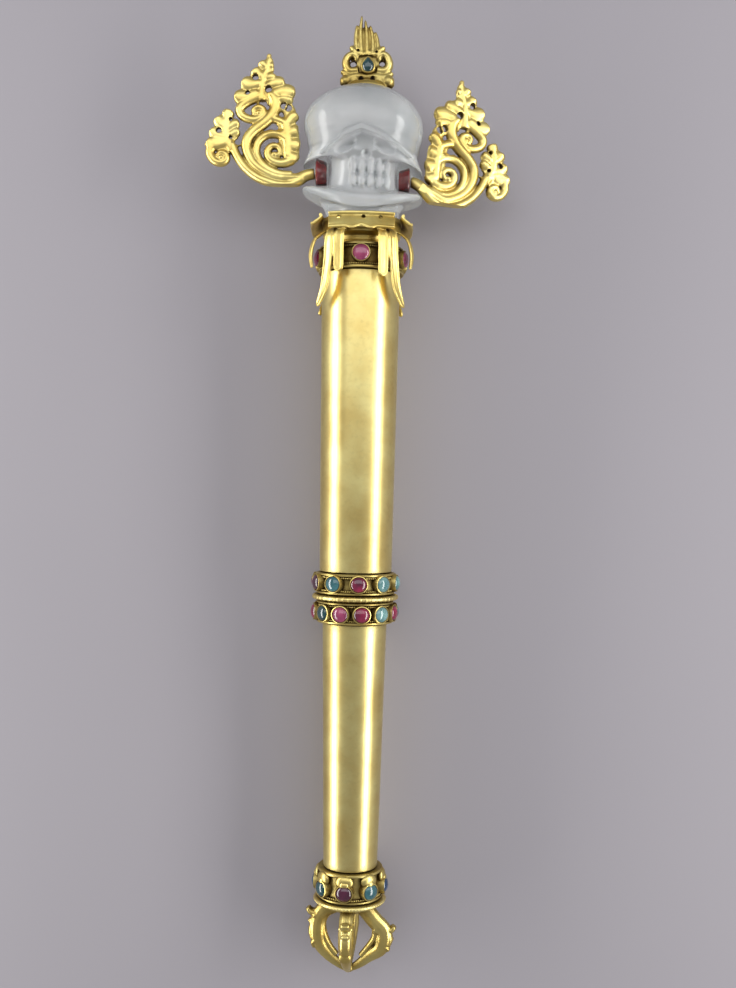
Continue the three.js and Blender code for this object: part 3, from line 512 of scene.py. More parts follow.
def stone_finish(name, colour, depth_colour, seed, roughness=0.12, clear=0.25):
    """A polished cabochon with cloudy depth and painted shade at its rim."""
    finish, nodes, links, shader = new_finish(name)
    shader.inputs["Coat Weight"].default_value = 0.6
    shader.inputs["Coat Roughness"].default_value = 0.06
    shader.inputs["Transmission Weight"].default_value = clear
    shader.inputs["IOR"].default_value = 1.6
    mottle = effect(nodes, "Mottle", Scale=160.0, Seed=seed)
    body = ramp(nodes, links, mottle.outputs["Broad"], [(0.36, depth_colour), (0.64, colour)])
    # Painted shade: the stone darkens to near black in the hollow at its rim, against the bezel.
    recess = effect(nodes, "Recess", Reach=0.0012, Depth=0.9)
    edge = blend_colour(nodes, links, recess.outputs["Mask"], body, (0.02, 0.012, 0.01))
    links.new(edge, shader.inputs["Base Color"])
    rough = math_node(nodes, links, "MULTIPLY", mottle.outputs["Fine"], 0.12)
    links.new(math_node(nodes, links, "ADD", rough, roughness - 0.06), shader.inputs["Roughness"])
    bumped(nodes, links, shader, mottle.outputs["Broad"], 0.0001, 0.4)
    return finish


# Each stone: its colour and the colour of its depth.
STONES = {
    "Ruby": ((0.36, 0.012, 0.07), (0.10, 0.004, 0.03)),
    "Pink ruby": ((0.50, 0.09, 0.20), (0.22, 0.02, 0.08)),
    "Dark ruby": ((0.10, 0.008, 0.04), (0.03, 0.003, 0.015)),
    "Pale turquoise": ((0.28, 0.52, 0.50), (0.10, 0.26, 0.27)),
    "Turquoise": ((0.07, 0.24, 0.27), (0.02, 0.09, 0.11)),
    "Dark teal": ((0.015, 0.09, 0.10), (0.004, 0.03, 0.035)),
    "Deep blue": ((0.01, 0.06, 0.16), (0.003, 0.015, 0.05)),
}
# Each gilding: its pair of colours, their shade (a factor below 1 makes a darker copy of the gold
# as painted shade), the reach of its patina and painted shade in the hollows, its roughness, a
# seed for its clouds and the depth of its dents in millimetres.
GILDINGS = {
    "Satin gilding": ("gold", 1.0, 0.004, 0.24, 1.0, 0.012),
    "Chased gilding": ("chased", 1.0, 0.0038, 0.28, 5.0, 0.05),
    "Bright gilding": ("gold", 1.0, 0.0012, 0.3, 13.0, 0.03),
    # A darker copy of the chased gold whose dark hollows reach far: painted shade.
    "Aged gilding": ("chased", 0.8, 0.012, 0.26, 9.0, 0.06),
}


def finishes():
    """Makes every finish once and returns them by name."""
    look = bpy.context.scene.sceptre_look
    if "Mottle" not in bpy.data.node_groups:
        mottle_group()
        recess_group()
        crystal_finish(look)
        stone_finish("Red coral", look.coral, (0.06, 0.004, 0.005), 2.0, 0.25, 0.0)
        stone_finish("Dark pin", (0.05, 0.05, 0.045), (0.02, 0.02, 0.018), 21.0, 0.3, 0.0)
        for name, (pair, shade, *surface) in GILDINGS.items():
            tones = (getattr(look, pair + "_low"), getattr(look, pair + "_high"))
            colours = [[shade * part for part in tone] for tone in tones]
            gilt_finish(name, colours, look.patina_and_shade, *surface)
        for i, (name, (colour, depth)) in enumerate(STONES.items()):
            stone_finish(name, colour, depth, 7.0 + i)
    return bpy.data.materials


class SceptreSizes(PropertyGroup):
    """Sizes of the work that is laid over the solids."""

    bead: FloatProperty(
        name="Bead radius",
        description="Radius of a bead in the middle ring",
        default=0.00132,
        min=0.0005,
        unit="LENGTH",
    )
    bezel_wall: FloatProperty(
        name="Bezel wall",
        description="Thickness of the metal round a stone",
        default=0.00042,
        min=0.0002,
        unit="LENGTH",
    )
    ribbon_edge: FloatProperty(
        name="Ribbon edge",
        description="Radius of the bead along a ribbon's edge",
        default=0.00062,
        min=0.0002,
        unit="LENGTH",
    )
    ornament_grain: FloatProperty(
        name="Ornament grain",
        description="Finest detail of the cast ornaments",
        default=0.00034,
        min=0.0002,
        unit="LENGTH",
    )
    skull_grain: FloatProperty(
        name="Carving grain",
        description="Finest detail of the carved crystal",
        default=0.00052,
        min=0.0003,
        unit="LENGTH",
    )
    staff_segments: IntProperty(
        name="Staff segments",
        description="Facets round the staff",
        default=96,
        min=24,
    )


class SceptreLook(PropertyGroup):
    """Colours and light."""

    gold_low: FloatVectorProperty(
        name="Gold, worn",
        description="Colour of the gilding where it is thin",
        subtype="COLOR",
        default=(0.78, 0.60, 0.21),
    )
    gold_high: FloatVectorProperty(
        name="Gold, bright",
        description="Colour of the gilding at its best",
        subtype="COLOR",
        default=(0.87, 0.75, 0.31),
    )
    chased_low: FloatVectorProperty(
        name="Chased gold, worn",
        description="Colour of the ornaments' gilding where it is thin",
        subtype="COLOR",
        default=(0.80, 0.59, 0.17),
    )
    chased_high: FloatVectorProperty(
        name="Chased gold, bright",
        description="Colour of the ornaments' gilding at its best",
        subtype="COLOR",
        default=(0.95, 0.79, 0.29),
    )
    # Besides patina, this colour paints the shade in the metal's hollows and between parts.
    patina_and_shade: FloatVectorProperty(
        name="Patina and shade",
        description="Colour in the recesses of the metal",
        subtype="COLOR",
        default=(0.085, 0.045, 0.012),
    )
    crystal: FloatVectorProperty(
        name="Crystal",
        description="Colour of the frosted crystal",
        subtype="COLOR",
        default=(0.97, 0.985, 0.98),
    )
    # This colour also paints the shade in the crystal's hollows.
    crystal_clouds_and_shade: FloatVectorProperty(
        name="Crystal clouds and shade",
        description="Colour of the clouds in the crystal",
        subtype="COLOR",
        default=(0.80, 0.85, 0.86),
    )
    coral: FloatVectorProperty(
        name="Coral",
        description="Colour of the bosses beside the jaw",
        subtype="COLOR",
        default=(0.22, 0.012, 0.012),
    )
    floor: FloatVectorProperty(
        name="Floor",
        description="Colour of the floor",
        subtype="COLOR",
        default=(0.325, 0.308, 0.335),
    )
    side_light: FloatProperty(
        name="Side light",
        description="Power of each long side light in watts",
        default=4.6,
        min=0.0,
    )
    lens: FloatProperty(
        name="Lens",
        description="Focal length of the camera in millimetres",
        default=39.35,
        min=10.0,
    )


# Gem bands: foot, height, drum radius, gem level, first gem's turn, stones round the band.
GEM_BANDS = {
    "foot": (FOOT_BAND_FOOT, 13.5, 14.6, 5.6, -9, [
        "Dark ruby", "Turquoise", "Deep blue", "Ruby", "Turquoise", "Ruby", "Deep blue", "Dark teal",
    ]),
    "lower_mid": (LOWER_BAND_FOOT, 10.1, 17.4, 4.9, 10, [
        "Ruby", "Pale turquoise", "Ruby", "Turquoise", "Ruby", "Turquoise",
        "Ruby", "Turquoise", "Dark teal", "Ruby", "Dark teal", "Pink ruby",
    ]),
    "upper_mid": (UPPER_BAND_FOOT, 9.7, 17.8, 5.2, 5, [
        "Ruby", "Pale turquoise", "Pale turquoise", "Ruby", "Turquoise",
        "Ruby", "Turquoise", "Ruby", "Dark ruby", "Turquoise",
    ]),
    "top": (TOP_BAND_FOOT, 11.8, 19.4, 6.4, 0, [
        "Pink ruby", "Ruby", "Pink ruby", "Turquoise", "Ruby", "Ruby", "Ruby", "Ruby", "Ruby", "Ruby",
    ]),
}
GEM_HALF_WIDTH = 4.0
GEM_HALF_HEIGHT = 3.8
RED_STONES = ("Ruby", "Pink ruby", "Dark ruby")


def gem_places(name):
    """The seats of a band's stones, with the stone for each."""
    foot, _, drum, level, turn, stones = GEM_BANDS[name]
    step = 360 / len(stones)
    return [(around(turn + step * i, drum, foot + level), stone) for i, stone in enumerate(stones)]


# Each shaft: its foot and top, and its radius at both. Its ends are bevelled by SHAFT_EDGE,
# and its surface is uneven by HAND_WORK.
SHAFTS = {
    "lower_shaft": (LOWER_SHAFT_FOOT, LOWER_SHAFT_TOP, 12.8, 15.2),
    "upper_shaft": (UPPER_SHAFT_FOOT, UPPER_SHAFT_TOP, 17.1, 18.6),
}
SHAFT_ROWS = 60
SHAFT_EDGE = 0.4
HAND_WORK = 0.08


class SCEPTRE_OT_shafts(Operator):
    """Turn the two tapered gilt shafts"""

    bl_idname = "sceptre.shafts"
    bl_label = "Gilt Shafts"

    def execute(self, context):
        finish = finishes()["Satin gilding"]
        steps = context.scene.sceptre_sizes.staff_segments
        for node, (foot, top, low, high) in SHAFTS.items():
            profile = [(0, foot), (low - SHAFT_EDGE, foot)]
            for i in range(SHAFT_ROWS + 1):
                share = i / SHAFT_ROWS
                height = foot + SHAFT_EDGE + (top - foot - 2 * SHAFT_EDGE) * share
                profile.append((low + (high - low) * share, height))
            profile += [(high - SHAFT_EDGE, top), (0, top)]
            bm = bmesh.new()
            lathe(bm, profile, steps)
            for vert in bm.verts:
                out = Vector((vert.co.x, 0, vert.co.z))
                if out.length > low - 1:
                    place = Vector((vert.co.x, vert.co.y * 0.35, vert.co.z)) * 0.06
                    wave = noise.noise(place + Vector((foot, 0, 0)))
                    vert.co -= out.normalized() * (HAND_WORK + HAND_WORK * wave)
            as_piece("Shaft_" + node.split("_")[0], bm, finish, "gilt_metal", (node,))
        return {"FINISHED"}


class SCEPTRE_OT_bead_rings(Operator):
    """String the beaded rings at the foot and in the middle"""

    bl_idname = "sceptre.bead_rings"
    bl_label = "Bead Rings"

    def execute(self, context):
        finish = finishes()["Bright gilding"]
        bead = context.scene.sceptre_sizes.bead * 1000
        for name, node, foot, height, radius, size in (
            ("Foot_beads", "foot_bead_ring", FOOT_RING_FOOT, 2.7, 17.2, bead * 0.55),
            ("Middle_beads", "mid_bead_ring", MID_RING_FOOT, 2.9, 20.4, bead),
        ):
            bm = bmesh.new()
            thick = height * 0.38
            middle = foot + height / 2
            angles = [pi * i / 12 for i in range(-6, 7)]
            core = [(radius - 0.15 - thick * (1 - cos(a)), middle + thick * sin(a)) for a in angles]
            lathe(bm, [(0, foot + 0.1), *core, (0, foot + height - 0.1)])
            beads_round(bm, radius - size, middle, size, 0.98)
            as_piece(name, bm, finish, "gilt_metal", (node,))
        return {"FINISHED"}


def bezel(bm, seat, half_width, half_height, wall, depth):
    """A thin raised collar round a stone."""
    profile = [
        (1.0, -1.2),
        (1.0 + 0.9 * wall / half_width, -1.2),
        (1.0 + wall / half_width, depth * 0.5),
        (1.0 + 0.6 * wall / half_width, depth),
        (0.98, depth + 0.12),
        (0.93, depth - 0.1),
        (0.95, -0.4),
        (1.0, -1.2),
    ]
    place = seat @ Matrix.Diagonal((half_width, half_height, 1, 1))
    lathe(bm, profile, 32, (0, 0, 1), place)


class SCEPTRE_OT_gem_bands(Operator):
    """Build the gem bands with their rims and bezels"""

    bl_idname = "sceptre.gem_bands"
    bl_label = "Gem Bands"

    def execute(self, context):
        # The bands take the darkened gilding: painted shade.
        finish = finishes()["Aged gilding"]
        wall = context.scene.sceptre_sizes.bezel_wall * 1000
        for name, (foot, height, drum, level, _, _) in GEM_BANDS.items():
            bm = bmesh.new()
            rim = drum + 0.75
            top = foot + height
            half = [
                (0, 0), (rim - 0.3, 0), (rim, 0.35), (rim, 0.95), (rim - 0.5, 1.3),
                (drum - 0.5, 1.5), (drum - 0.7, 2),
            ]
            below = [(radius, foot + rise) for radius, rise in half]
            above = [(radius, top - rise) for radius, rise in reversed(half)]
            lathe(bm, below + above)
            beads_round(bm, drum + 0.15, foot + 1.85, 0.55)
            if name != "foot":
                beads_round(bm, drum + 0.15, top - 1.85, 0.55)
            for seat, _ in gem_places(name):
                bezel(bm, seat, GEM_HALF_WIDTH, GEM_HALF_HEIGHT, wall, 2.3)
                floor = (GEM_HALF_WIDTH * 0.98, GEM_HALF_HEIGHT * 0.98, 0.9)
                ball(bm, seat @ at((0, 0, 0.5), floor), 24, 8)
            if name == "foot":
                for seat, _ in gem_places(name):
                    petal = seat @ Matrix.Translation((0, height - level - 3.3, 0.3))
                    ball(bm, petal @ at((0, 0, 0), (4.2, 3.3, 1.9)), 28, 14)
                    ball(bm, petal @ at((0, -1.0, 1.0), (2.4, 1.9, 1.5)), 20, 10)
            as_piece("Band_" + name, bm, finish, "gilt_metal", (name + "_gem_band",))
        return {"FINISHED"}


class SCEPTRE_OT_gems(Operator):
    """Set a polished stone in every bezel"""

    bl_idname = "sceptre.gems"
    bl_label = "Band Stones"

    def execute(self, context):
        stones = finishes()
        for name in GEM_BANDS:
            for i, (seat, stone) in enumerate(gem_places(name)):
                bm = bmesh.new()
                bmesh.ops.create_uvsphere(bm, u_segments=28, v_segments=16, radius=1)
                bmesh.ops.bisect_plane(
                    bm,
                    geom=[*bm.verts, *bm.edges, *bm.faces],
                    plane_co=(0, 0, 0.05),
                    plane_no=(0, 0, -1),
                    clear_outer=True,
                )
                cap_ring(bm, [vert for vert in bm.verts if vert.co.z < 0.06])
                size = 0.96 + 0.02 * sin(2.3 * i) + 0.1 * (name == "top")
                place = seat @ at((0, 0, 1.5), (GEM_HALF_WIDTH * size, GEM_HALF_HEIGHT * size, 2.2))
                bmesh.ops.transform(bm, matrix=place, verts=bm.verts)
                slot = "red_stone" if stone in RED_STONES else "blue_stone"
                number = f"{i:02d}"
                as_piece(f"Stone_{name}_{number}", bm, stones[stone], slot, (f"{name}_gem_{number}",))
        return {"FINISHED"}


# A prong drawn to the right. Each bar has its half widths, its half depths, the points in a
# span and its knots: out, height, the share of the prong's reach and of its drop.
PRONG_BARS = (
    (tapering(1.6, 1.2), tapering(2.7, 1.6), 5, [
        (8, 31, 0, 0.3), (11.8, 26, 0, 0.5), (12.0, 19.5, 0, 0.3), (9.4, 13, 0, 0), (5.6, 8.2, 0, 0),
    ]),
    (fined_down(4.0, 1.15), fined_down(3.5, 1.2), 6, [
        (6, 32.3, 0, 0), (11.9, 29.2, 0, 0.55), (14.6, 24.4, 1, 0.5), (15.0, 18.4, 1, 0.3),
        (13.7, 13.0, 0.6, 0.2), (9.9, 8.2, 0, 0), (5.2, 4.4, 0, 0), (1.2, 1.9, 0, 0),
    ]),
    (tapering(1.6, 1.6), tapering(2.6, 2.6), 5, [
        (17.2, 23, 1, 0.4), (17.9, 19, 1, 0.3), (17.0, 15.6, 1, 0.2),
    ]),
    (tapering(1.3, 0.9), tapering(3.3, 2.4), 5, [
        (15.6, 14.8, 1, 0.2), (17.2, 13.8, 1, 0.2), (16.4, 11.4, 1, 0),
    ]),
    (tapering(2.5, 1.3), tapering(3.2, 2.0), 5, [
        (12, 28.4, 0, 1), (16, 27.6, 0, 1), (18.4, 28.2, 1, 1), (19.8, 30.0, 1, 1),
    ]),
    (tapering(2.0, 0.9), tapering(2.8, 1.6), 5, [
        (14, 24, 0, 1), (17.2, 23, 1, 1), (19.2, 24.4, 1, 1),
    ]),
)
# Each prong's turn, drop and reach; the right one sits lower and reaches further. All four
# sit a little back from square.
PRONG_TURNS = ((0, 0, 0), (90, 7, 1.6), (180, 0, 0), (270, 0, 0))
PRONG_DRAWN_AT = 90
VAJRA_TURN = -5
VAJRA_GRAIN = 0.32


class SCEPTRE_OT_half_vajra(Operator):
    """Forge the half-vajra with its four prongs"""

    bl_idname = "sceptre.half_vajra"
    bl_label = "Half Vajra"

    def execute(self, context):
        bm = bmesh.new()
        lathe(bm, [
            (0, 28.8), (5.5, 29.2), (8.2, 30.6), (8.9, 31.6), (8.4, 32.6), (8.8, 33.2),
            (8.8, VAJRA_TOP), (0, VAJRA_TOP),
        ], 48)
        lathe(bm, [
            (0, 0), (1.7, 0.5), (2.3, 1.6), (2.1, 2.8), (1.5, 4.2), (2.0, 7.5), (2.9, 14),
            (2.5, 22), (2.6, 30), (0, 30),
        ], 32)
        for azimuth, drop, reach in PRONG_TURNS:
            before = set(bm.verts)
            for half_width, half_depth, per_span, knots in PRONG_BARS:
                path = [(out + reach * far, height - drop * low, 0) for out, height, far, low in knots]
                sweep(bm, smooth_path(path, per_span), half_width, half_depth, 12)
            for side in (-1, 1):
                ball(bm, at((16.2 + reach, 26.6 - drop, side * 2.5), (0.9, 0.9, 0.9)), 12, 8)
            move_since(bm, before, Matrix.Rotation(radians(azimuth + VAJRA_TURN - PRONG_DRAWN_AT), 4, "Y"))
        # The vajra takes the darkened gilding: painted shade.
        piece = as_piece("Half_vajra", bm, finishes()["Aged gilding"], "gilt_metal", ("half_vajra",))
        cast_in_one(piece, VAJRA_GRAIN, 3)
        trim_to_box(piece, "half_vajra")
        return {"FINISHED"}


def ribbon(bm, knots, half_width, edge, tip):
    """A flat ribbon with a bead along each edge; its knots are turn, radius and height."""
    path = smooth_path([on_staff(*knot) for knot in knots])
    width = rounded_tip(half_width, half_width, tip)
    sweep(bm, path, width, lambda u: 0.5, 12, outward)
    last = len(path) - 1
    for side in (-1, 1):
        rail = []
        for i, point in enumerate(path):
            along = (path[min(i + 1, last)] - path[max(i - 1, 0)]).normalized()
            out = outward(point)
            aside = side * (width(i / last) - edge * 0.8)
            rail.append(point + out.cross(along) * aside + out * 0.25)
        sweep(bm, rail, lambda u: edge, lambda u: edge, 8, outward)


def narrowed(half):
    """A half width that draws in at both ends of a bar."""
    return lambda share: half * (1 - 0.25 * abs(2 * share - 1) ** 5)


# The bars that make up a petal: share of its reach, half width, lift and half thickness.
PETAL_BARS = ((0.5, 4.2, 0, 0.7), (0.06, 0.9, 0.9, 1.0), (0.93, 0.75, 0.6, 0.8), (0.66, 1.9, 0.35, 0.6))
PETAL_STEPS = (-15.2, -10, -6.8, -4.5, -2.2, 0, 2.2, 4.5, 6.8, 10, 15.2)
# The ribbons' turns from the middle, the height at which they come out from under the
# petals, and the radius at which they hang clear of the band.
INNER_RIBBON = 23.5
OUTER_RIBBON = 35.5
SIDE_RIBBON = 66
RIBBON_ROOT = COLLAR_TOP - 7.4
RIBBON_CLEAR = 24.8
COLLAR_GRAIN = 0.36


class SCEPTRE_OT_collar(Operator):
    """Cut the collar's petals and hang its ribbons"""

    bl_idname = "sceptre.collar"
    bl_label = "Ribbon Collar"

    def execute(self, context):
        edge = context.scene.sceptre_sizes.ribbon_edge * 1000
        bm = bmesh.new()
        floor = COLLAR_TOP - 7.5
        lathe(bm, [
            (17.2, floor), (0, floor), (0, COLLAR_FOOT), (15.2, COLLAR_FOOT), (15.5, COLLAR_FOOT + 0.6),
            (15.0, COLLAR_FOOT + 2), (15.4, COLLAR_FOOT + 3.8), (18.2, COLLAR_FOOT + 5),
            (18.5, COLLAR_FOOT + 7), (18.4, COLLAR_TOP - 1.4), (19.3, COLLAR_TOP - 0.6),
            (19.2, COLLAR_TOP), (18.0, COLLAR_TOP), (17.2, COLLAR_TOP - 1.6), (17.2, floor),
        ])
        for azimuth in (0, 90, 180, 270):
            before = set(bm.verts)
            broad = azimuth % 180 == 0
            slope = radians(28 if broad else 48)
            facing = Vector((0, sin(slope), cos(slope)))
            down = Vector((0, -cos(slope), sin(slope)))
            root = Vector((0, COLLAR_TOP - 0.2, 18.6))
            reach = 8.8 if broad else 6.4
            for share, half, lift, thick in PETAL_BARS:
                knots = []
                for across in PETAL_STEPS:
                    cusped = broad and share > 0.6 and abs(across) < 7
                    fall = share * reach - (0.8 * cos(across * 0.7) if cusped else 0)
                    rise = lift - 0.0035 * across * across
                    knots.append(root + down * fall + facing * rise + Vector((across, 0, 0)))
                path = smooth_path(knots, 5)
                sweep(bm, path, narrowed(half), tapering(thick, thick), 10, facing)
            move_since(bm, before, Matrix.Rotation(radians(azimuth), 4, "Y"))
        root = RIBBON_ROOT
        clear = RIBBON_CLEAR
        for turn in (0, 180):
            for side in (-1, 1):
                away = side if turn == 0 else -side
                inner = turn + away * INNER_RIBBON
                outer = turn + away * OUTER_RIBBON
                if turn == 0:
                    drop = 21 if side < 0 else 23
                    ribbon(bm, [
                        (inner, 19.5, root + 1.4),
                        (inner, clear - 0.4, root - 2.6),
                        (inner + away * 0.4, clear, root - drop * 0.5),
                        (inner + away * 1.0, clear - 0.5, root - drop * 0.96),
                    ], 2.45, edge, 0.1)
                ribbon(bm, [
                    (outer, 19.5, root + 1.2),
                    (outer, clear - 0.4, root - 2.8),
                    (outer + away * 1.4, clear - 0.1, root - 13),
                    (outer + away * 4.6, clear - 0.7, root - 20),
                    (outer + away * 9.5, clear - 1.2, root - 27),
                    (outer + away * 23, clear - 1.6, root - 34.6),
                ], 2.5, edge, 0.3)
        for side in (-1, 1):
            ribbon(bm, [
                (side * SIDE_RIBBON, 19, root + 0.8),
                (side * SIDE_RIBBON, clear - 1.4, root - 3),
                (side * SIDE_RIBBON, clear + 0.6, root - 9.6),
                (side * SIDE_RIBBON, clear + 0.1, root - 16.4),
            ], 1.7, edge, 0.4)
        piece = as_piece("Ribbon_collar", bm, finishes()["Chased gilding"], "gilt_metal", ("ribbon_collar",))
        cast_in_one(piece, COLLAR_GRAIN, 2)
        holes = bmesh.new()
        lean = Matrix.Rotation(radians(-28), 4, "X")
        for across in (-10.6, 0.8, 8.6):
            drill(holes, Matrix.Translation((across, COLLAR_TOP - 2.2, 20.4)) @ lean, 1.0, 4)
        cut_by(piece, holes)
        return {"FINISHED"}


# The carved head: half width, front, back, then the height at the sides, the front and the
# back above the neck's foot, and how far the ring shares the head's tilt.
HEAD_RINGS = [
    (16.7, 16.7, 16.7, 0.1, 0.1, 0.1, 0),
    (16.7, 16.7, 16.7, 7.4, 7.4, 7.4, 0),
    (17.6, 17.6, 17.6, 11.8, 9.4, 11.8, 0.1),
    (19.4, 19.4, 19.4, 15.0, 9.6, 15.0, 0.3),
    (23.5, 20.0, 20.0, 16.2, 10.2, 16.6, 0.7),
    (27.6, 20.2, 20.0, 18.0, 11.7, 18.0, 1),
    (28.7, 21.6, 20.9, 19.6, 13.0, 19.6, 1),
    (28.5, 21.6, 20.9, 20.9, 14.5, 20.9, 1),
    (24.0, 20.4, 20.0, 21.4, 15.6, 21.4, 1),
    (16.9, 19.2, 19.0, 22.0, 16.6, 22.0, 1),
    (16.4, 19.4, 19.8, 26.0, 21.0, 26.0, 1),
    (16.4, 20.0, 20.6, 30.4, 25.4, 30.4, 1),
    (16.8, 21.0, 22.0, 36.4, 29.8, 34.2, 1),
    (22.6, 21.4, 23.2, 34.0, 31.6, 35.2, 1),
    (28.2, 21.8, 24.0, 30.6, 32.9, 36.4, 1),
    (28.4, 22.4, 24.6, 31.6, 34.2, 37.0, 1),
    (27.0, 23.4, 25.6, 34.2, 36.4, 38.2, 1),
    (25.6, 24.4, 26.6, 38.0, 38.8, 39.6, 1),
    (26.6, 25.8, 27.8, 42.4, 42.4, 43.4, 1),
]
# The dome above the rings: its half sizes to the side, the front and the back, the height of
# its middle above the neck's foot and its rise. Its rings run from DOME_START upwards.
DOME = (28.3, 26.9, 28.7)
DOME_MIDDLE = 51
DOME_RISE = 20
DOME_START = -17.5
DOME_RINGS = 23
DOME_STEP = 4
# The face is cut back to its plane under the brows. Each eye: place and turn. The brows and
# the nose bone are bars through their points.
FACE_PLANE = 22.4
UNDER_BROWS = (
    (-19.0, 32.6), (-12.8, 36.6), (-8.2, 40.0), (-0.8, 43.0), (6.2, 40.6),
    (14.2, 37.0), (21.6, 32.0), (17.4, 30.6), (1.0, 31.2), (-15.6, 31.2),
)
EYES = ((-8.6, 36.6, 27), (10.6, 36.2, -24))
BROWS = (
    [(-0.8, 44.0, 26.6), (-4.4, 42.8, 26.3), (-8.2, 41.0, 25.9), (-12.8, 37.6, 24.6), (-19.4, 33.6, 20.2)],
    [(-0.8, 44.0, 26.6), (2.4, 43.0, 26.4), (6.2, 41.6, 26.0), (14.2, 38.0, 24.2), (22.4, 32.8, 18.6)],
)
NOSE_BONE = [(-1.8, 38.4, 23.6), (1.4, 37.0, 24.4), (4.8, 34.6, 23.4)]
HEAD_FACETS = 72
# The teeth: their middle, their pitch and how many stand in a row. Each row: the way that it
# grows from the gum and its height.
TEETH_MIDDLE = 3.6
TEETH_PITCH = 3.95
TEETH_IN_ROW = 5
TEETH_ROWS = ((1, 27.8), (-1, 21.4))


def head_point(angle, ring):
    """A point of the carved head on one ring."""
    side, front, back, side_height, front_height, back_height, tilt = ring
    across, ahead = cos(angle), sin(angle)
    square = 1 - 0.1 * tilt
    x = side * (abs(across) ** square) * (1 if across > 0 else -1)
    z = (front if ahead > 0 else back) * (abs(ahead) ** square) * (1 if ahead > 0 else -1)
    share = ahead * ahead
    height = side_height * (1 - share) + (front_height if ahead > 0 else back_height) * share
    return Vector((x, SKULL_FOOT + height - x * HEAD_LEAN * tilt, z))


def beside_jaw(side, height, out):
    """A matrix beside the jaw: its Z looks outwards."""
    place = (side * out, SKULL_FOOT + height, BOSS_FORWARD)
    return Matrix.Translation(place) @ Matrix.Rotation(side * pi / 2, 4, "Y")


def on_head(points, back=0):
    """Points given above the neck's foot, set back a little where wanted."""
    return [(x, SKULL_FOOT + y, z - back) for x, y, z in points]


class SCEPTRE_OT_crystal_skull(Operator):
    """Carve the crystal skull"""

    bl_idname = "sceptre.crystal_skull"
    bl_label = "Crystal Skull"

    def execute(self, context):
        rings = list(HEAD_RINGS)
        for step in range(DOME_RINGS):
            rise = sin(radians(DOME_START + DOME_STEP * step))
            share = sqrt(1 - rise * rise)
            height = DOME_MIDDLE + DOME_RISE * rise
            half_sizes = [half * share for half in DOME]
            rings.append((*half_sizes, height, height, height, min(1, 1 - rise)))
        bm = bmesh.new()
        ring = bmesh.ops.create_circle(bm, segments=HEAD_FACETS, radius=1)["verts"]
        order = {vert: i for i, vert in enumerate(ring)}
        for n, shape in enumerate(rings):
            if n > 0:
                ring = grow_ring(bm, ring)
                below = order
                order = {}
                for vert in ring:
                    joined = [edge.other_vert(vert) for edge in vert.link_edges]
                    order[vert] = below[next(other for other in joined if other in below)]
            for vert in ring:
                vert.co = head_point(2 * pi * order[vert] / HEAD_FACETS, shape)
            if n == 0:
                cap_ring(bm, ring)
        cap_ring(bm, ring)
        for row, level in TEETH_ROWS:
            for i in range(TEETH_IN_ROW):
                across = TEETH_MIDDLE + (i - TEETH_IN_ROW // 2) * TEETH_PITCH
                height = SKULL_FOOT + level - across * HEAD_LEAN
                depth = 21.8 - 0.016 * across * across
                ball(bm, at((across, height, depth - 0.5), (1.72, 3.5, 2.6)), 20, 12)
                ball(bm, at((across, height - row * 1.6, depth - 0.8), (1.5, 2.4, 2.2)))
        for knots in BROWS:
            sweep(bm, smooth_path(on_head(knots, 0.5)), tapering(1.3, 0.9), tapering(2.5, 1.6), 12)
        sweep(bm, smooth_path(on_head(NOSE_BONE)), tapering(1.1, 1.5), tapering(1.0, 1.2), 12)
        piece = as_piece("Crystal_skull", bm, finishes()["Rock crystal"], "rock_crystal", ("crystal_skull",))
        grain = context.scene.sceptre_sizes.skull_grain * 1000
        cast_in_one(piece, grain, 2)
        hollows = bmesh.new()
        outline = [hollows.verts.new((x, SKULL_FOOT + y, FACE_PLANE)) for x, y in UNDER_BROWS]
        face = hollows.faces.new(outline)
        grown = bmesh.ops.extrude_face_region(hollows, geom=[face])
        lifted = [item for item in grown["geom"] if isinstance(item, bmesh.types.BMVert)]
        bmesh.ops.translate(hollows, vec=(0, 0, 20), verts=lifted)
        cut_by(piece, hollows)
        hollows = bmesh.new()
        for x, y, turn in EYES:
            slant = Matrix.Rotation(radians(turn), 4, "Z")
            ball(hollows, at((x, SKULL_FOOT + y, FACE_PLANE), (6.4, 3.0, 3.2), slant), 28, 16)
        ball(hollows, at((1.6, SKULL_FOOT + 33.2, 21.8), (2.2, 2.2, 1.8)), 20, 12)
        for side, height, radius in BOSSES.values():
            socket = radius + SOCKET_CLEARANCE
            bmesh.ops.create_cone(
                hollows,
                cap_ends=True,
                segments=40,
                radius1=socket - 1.1,
                radius2=socket,
                depth=6.2,
                matrix=beside_jaw(side, height, 19.4),
            )
        cut_by(piece, hollows)
        cast_in_one(piece, grain, 2)
        trim_to_box(piece, "crystal_skull")
        return {"FINISHED"}


class SCEPTRE_OT_bosses(Operator):
    """Turn the red bosses beside the jaw"""

    bl_idname = "sceptre.bosses"
    bl_label = "Red Bosses"

    def execute(self, context):
        for name, (side, height, radius) in BOSSES.items():
            bm = bmesh.new()
            lathe(bm, [
                (0, 0.1), (radius - 2.0, 0.1), (radius - 1.5, 0.6), (radius - 0.6, 3.4),
                (radius - 0.15, 4.4), (radius - 0.35, 4.95), (radius - 1.2, 5.3), (0, 5.35),
            ], 64, (0, 0, 1), beside_jaw(side, height, 16.7))
            as_piece("Boss_" + name, bm, finishes()["Red coral"], "red_coral", (name + "_red_boss",))
        return {"FINISHED"}


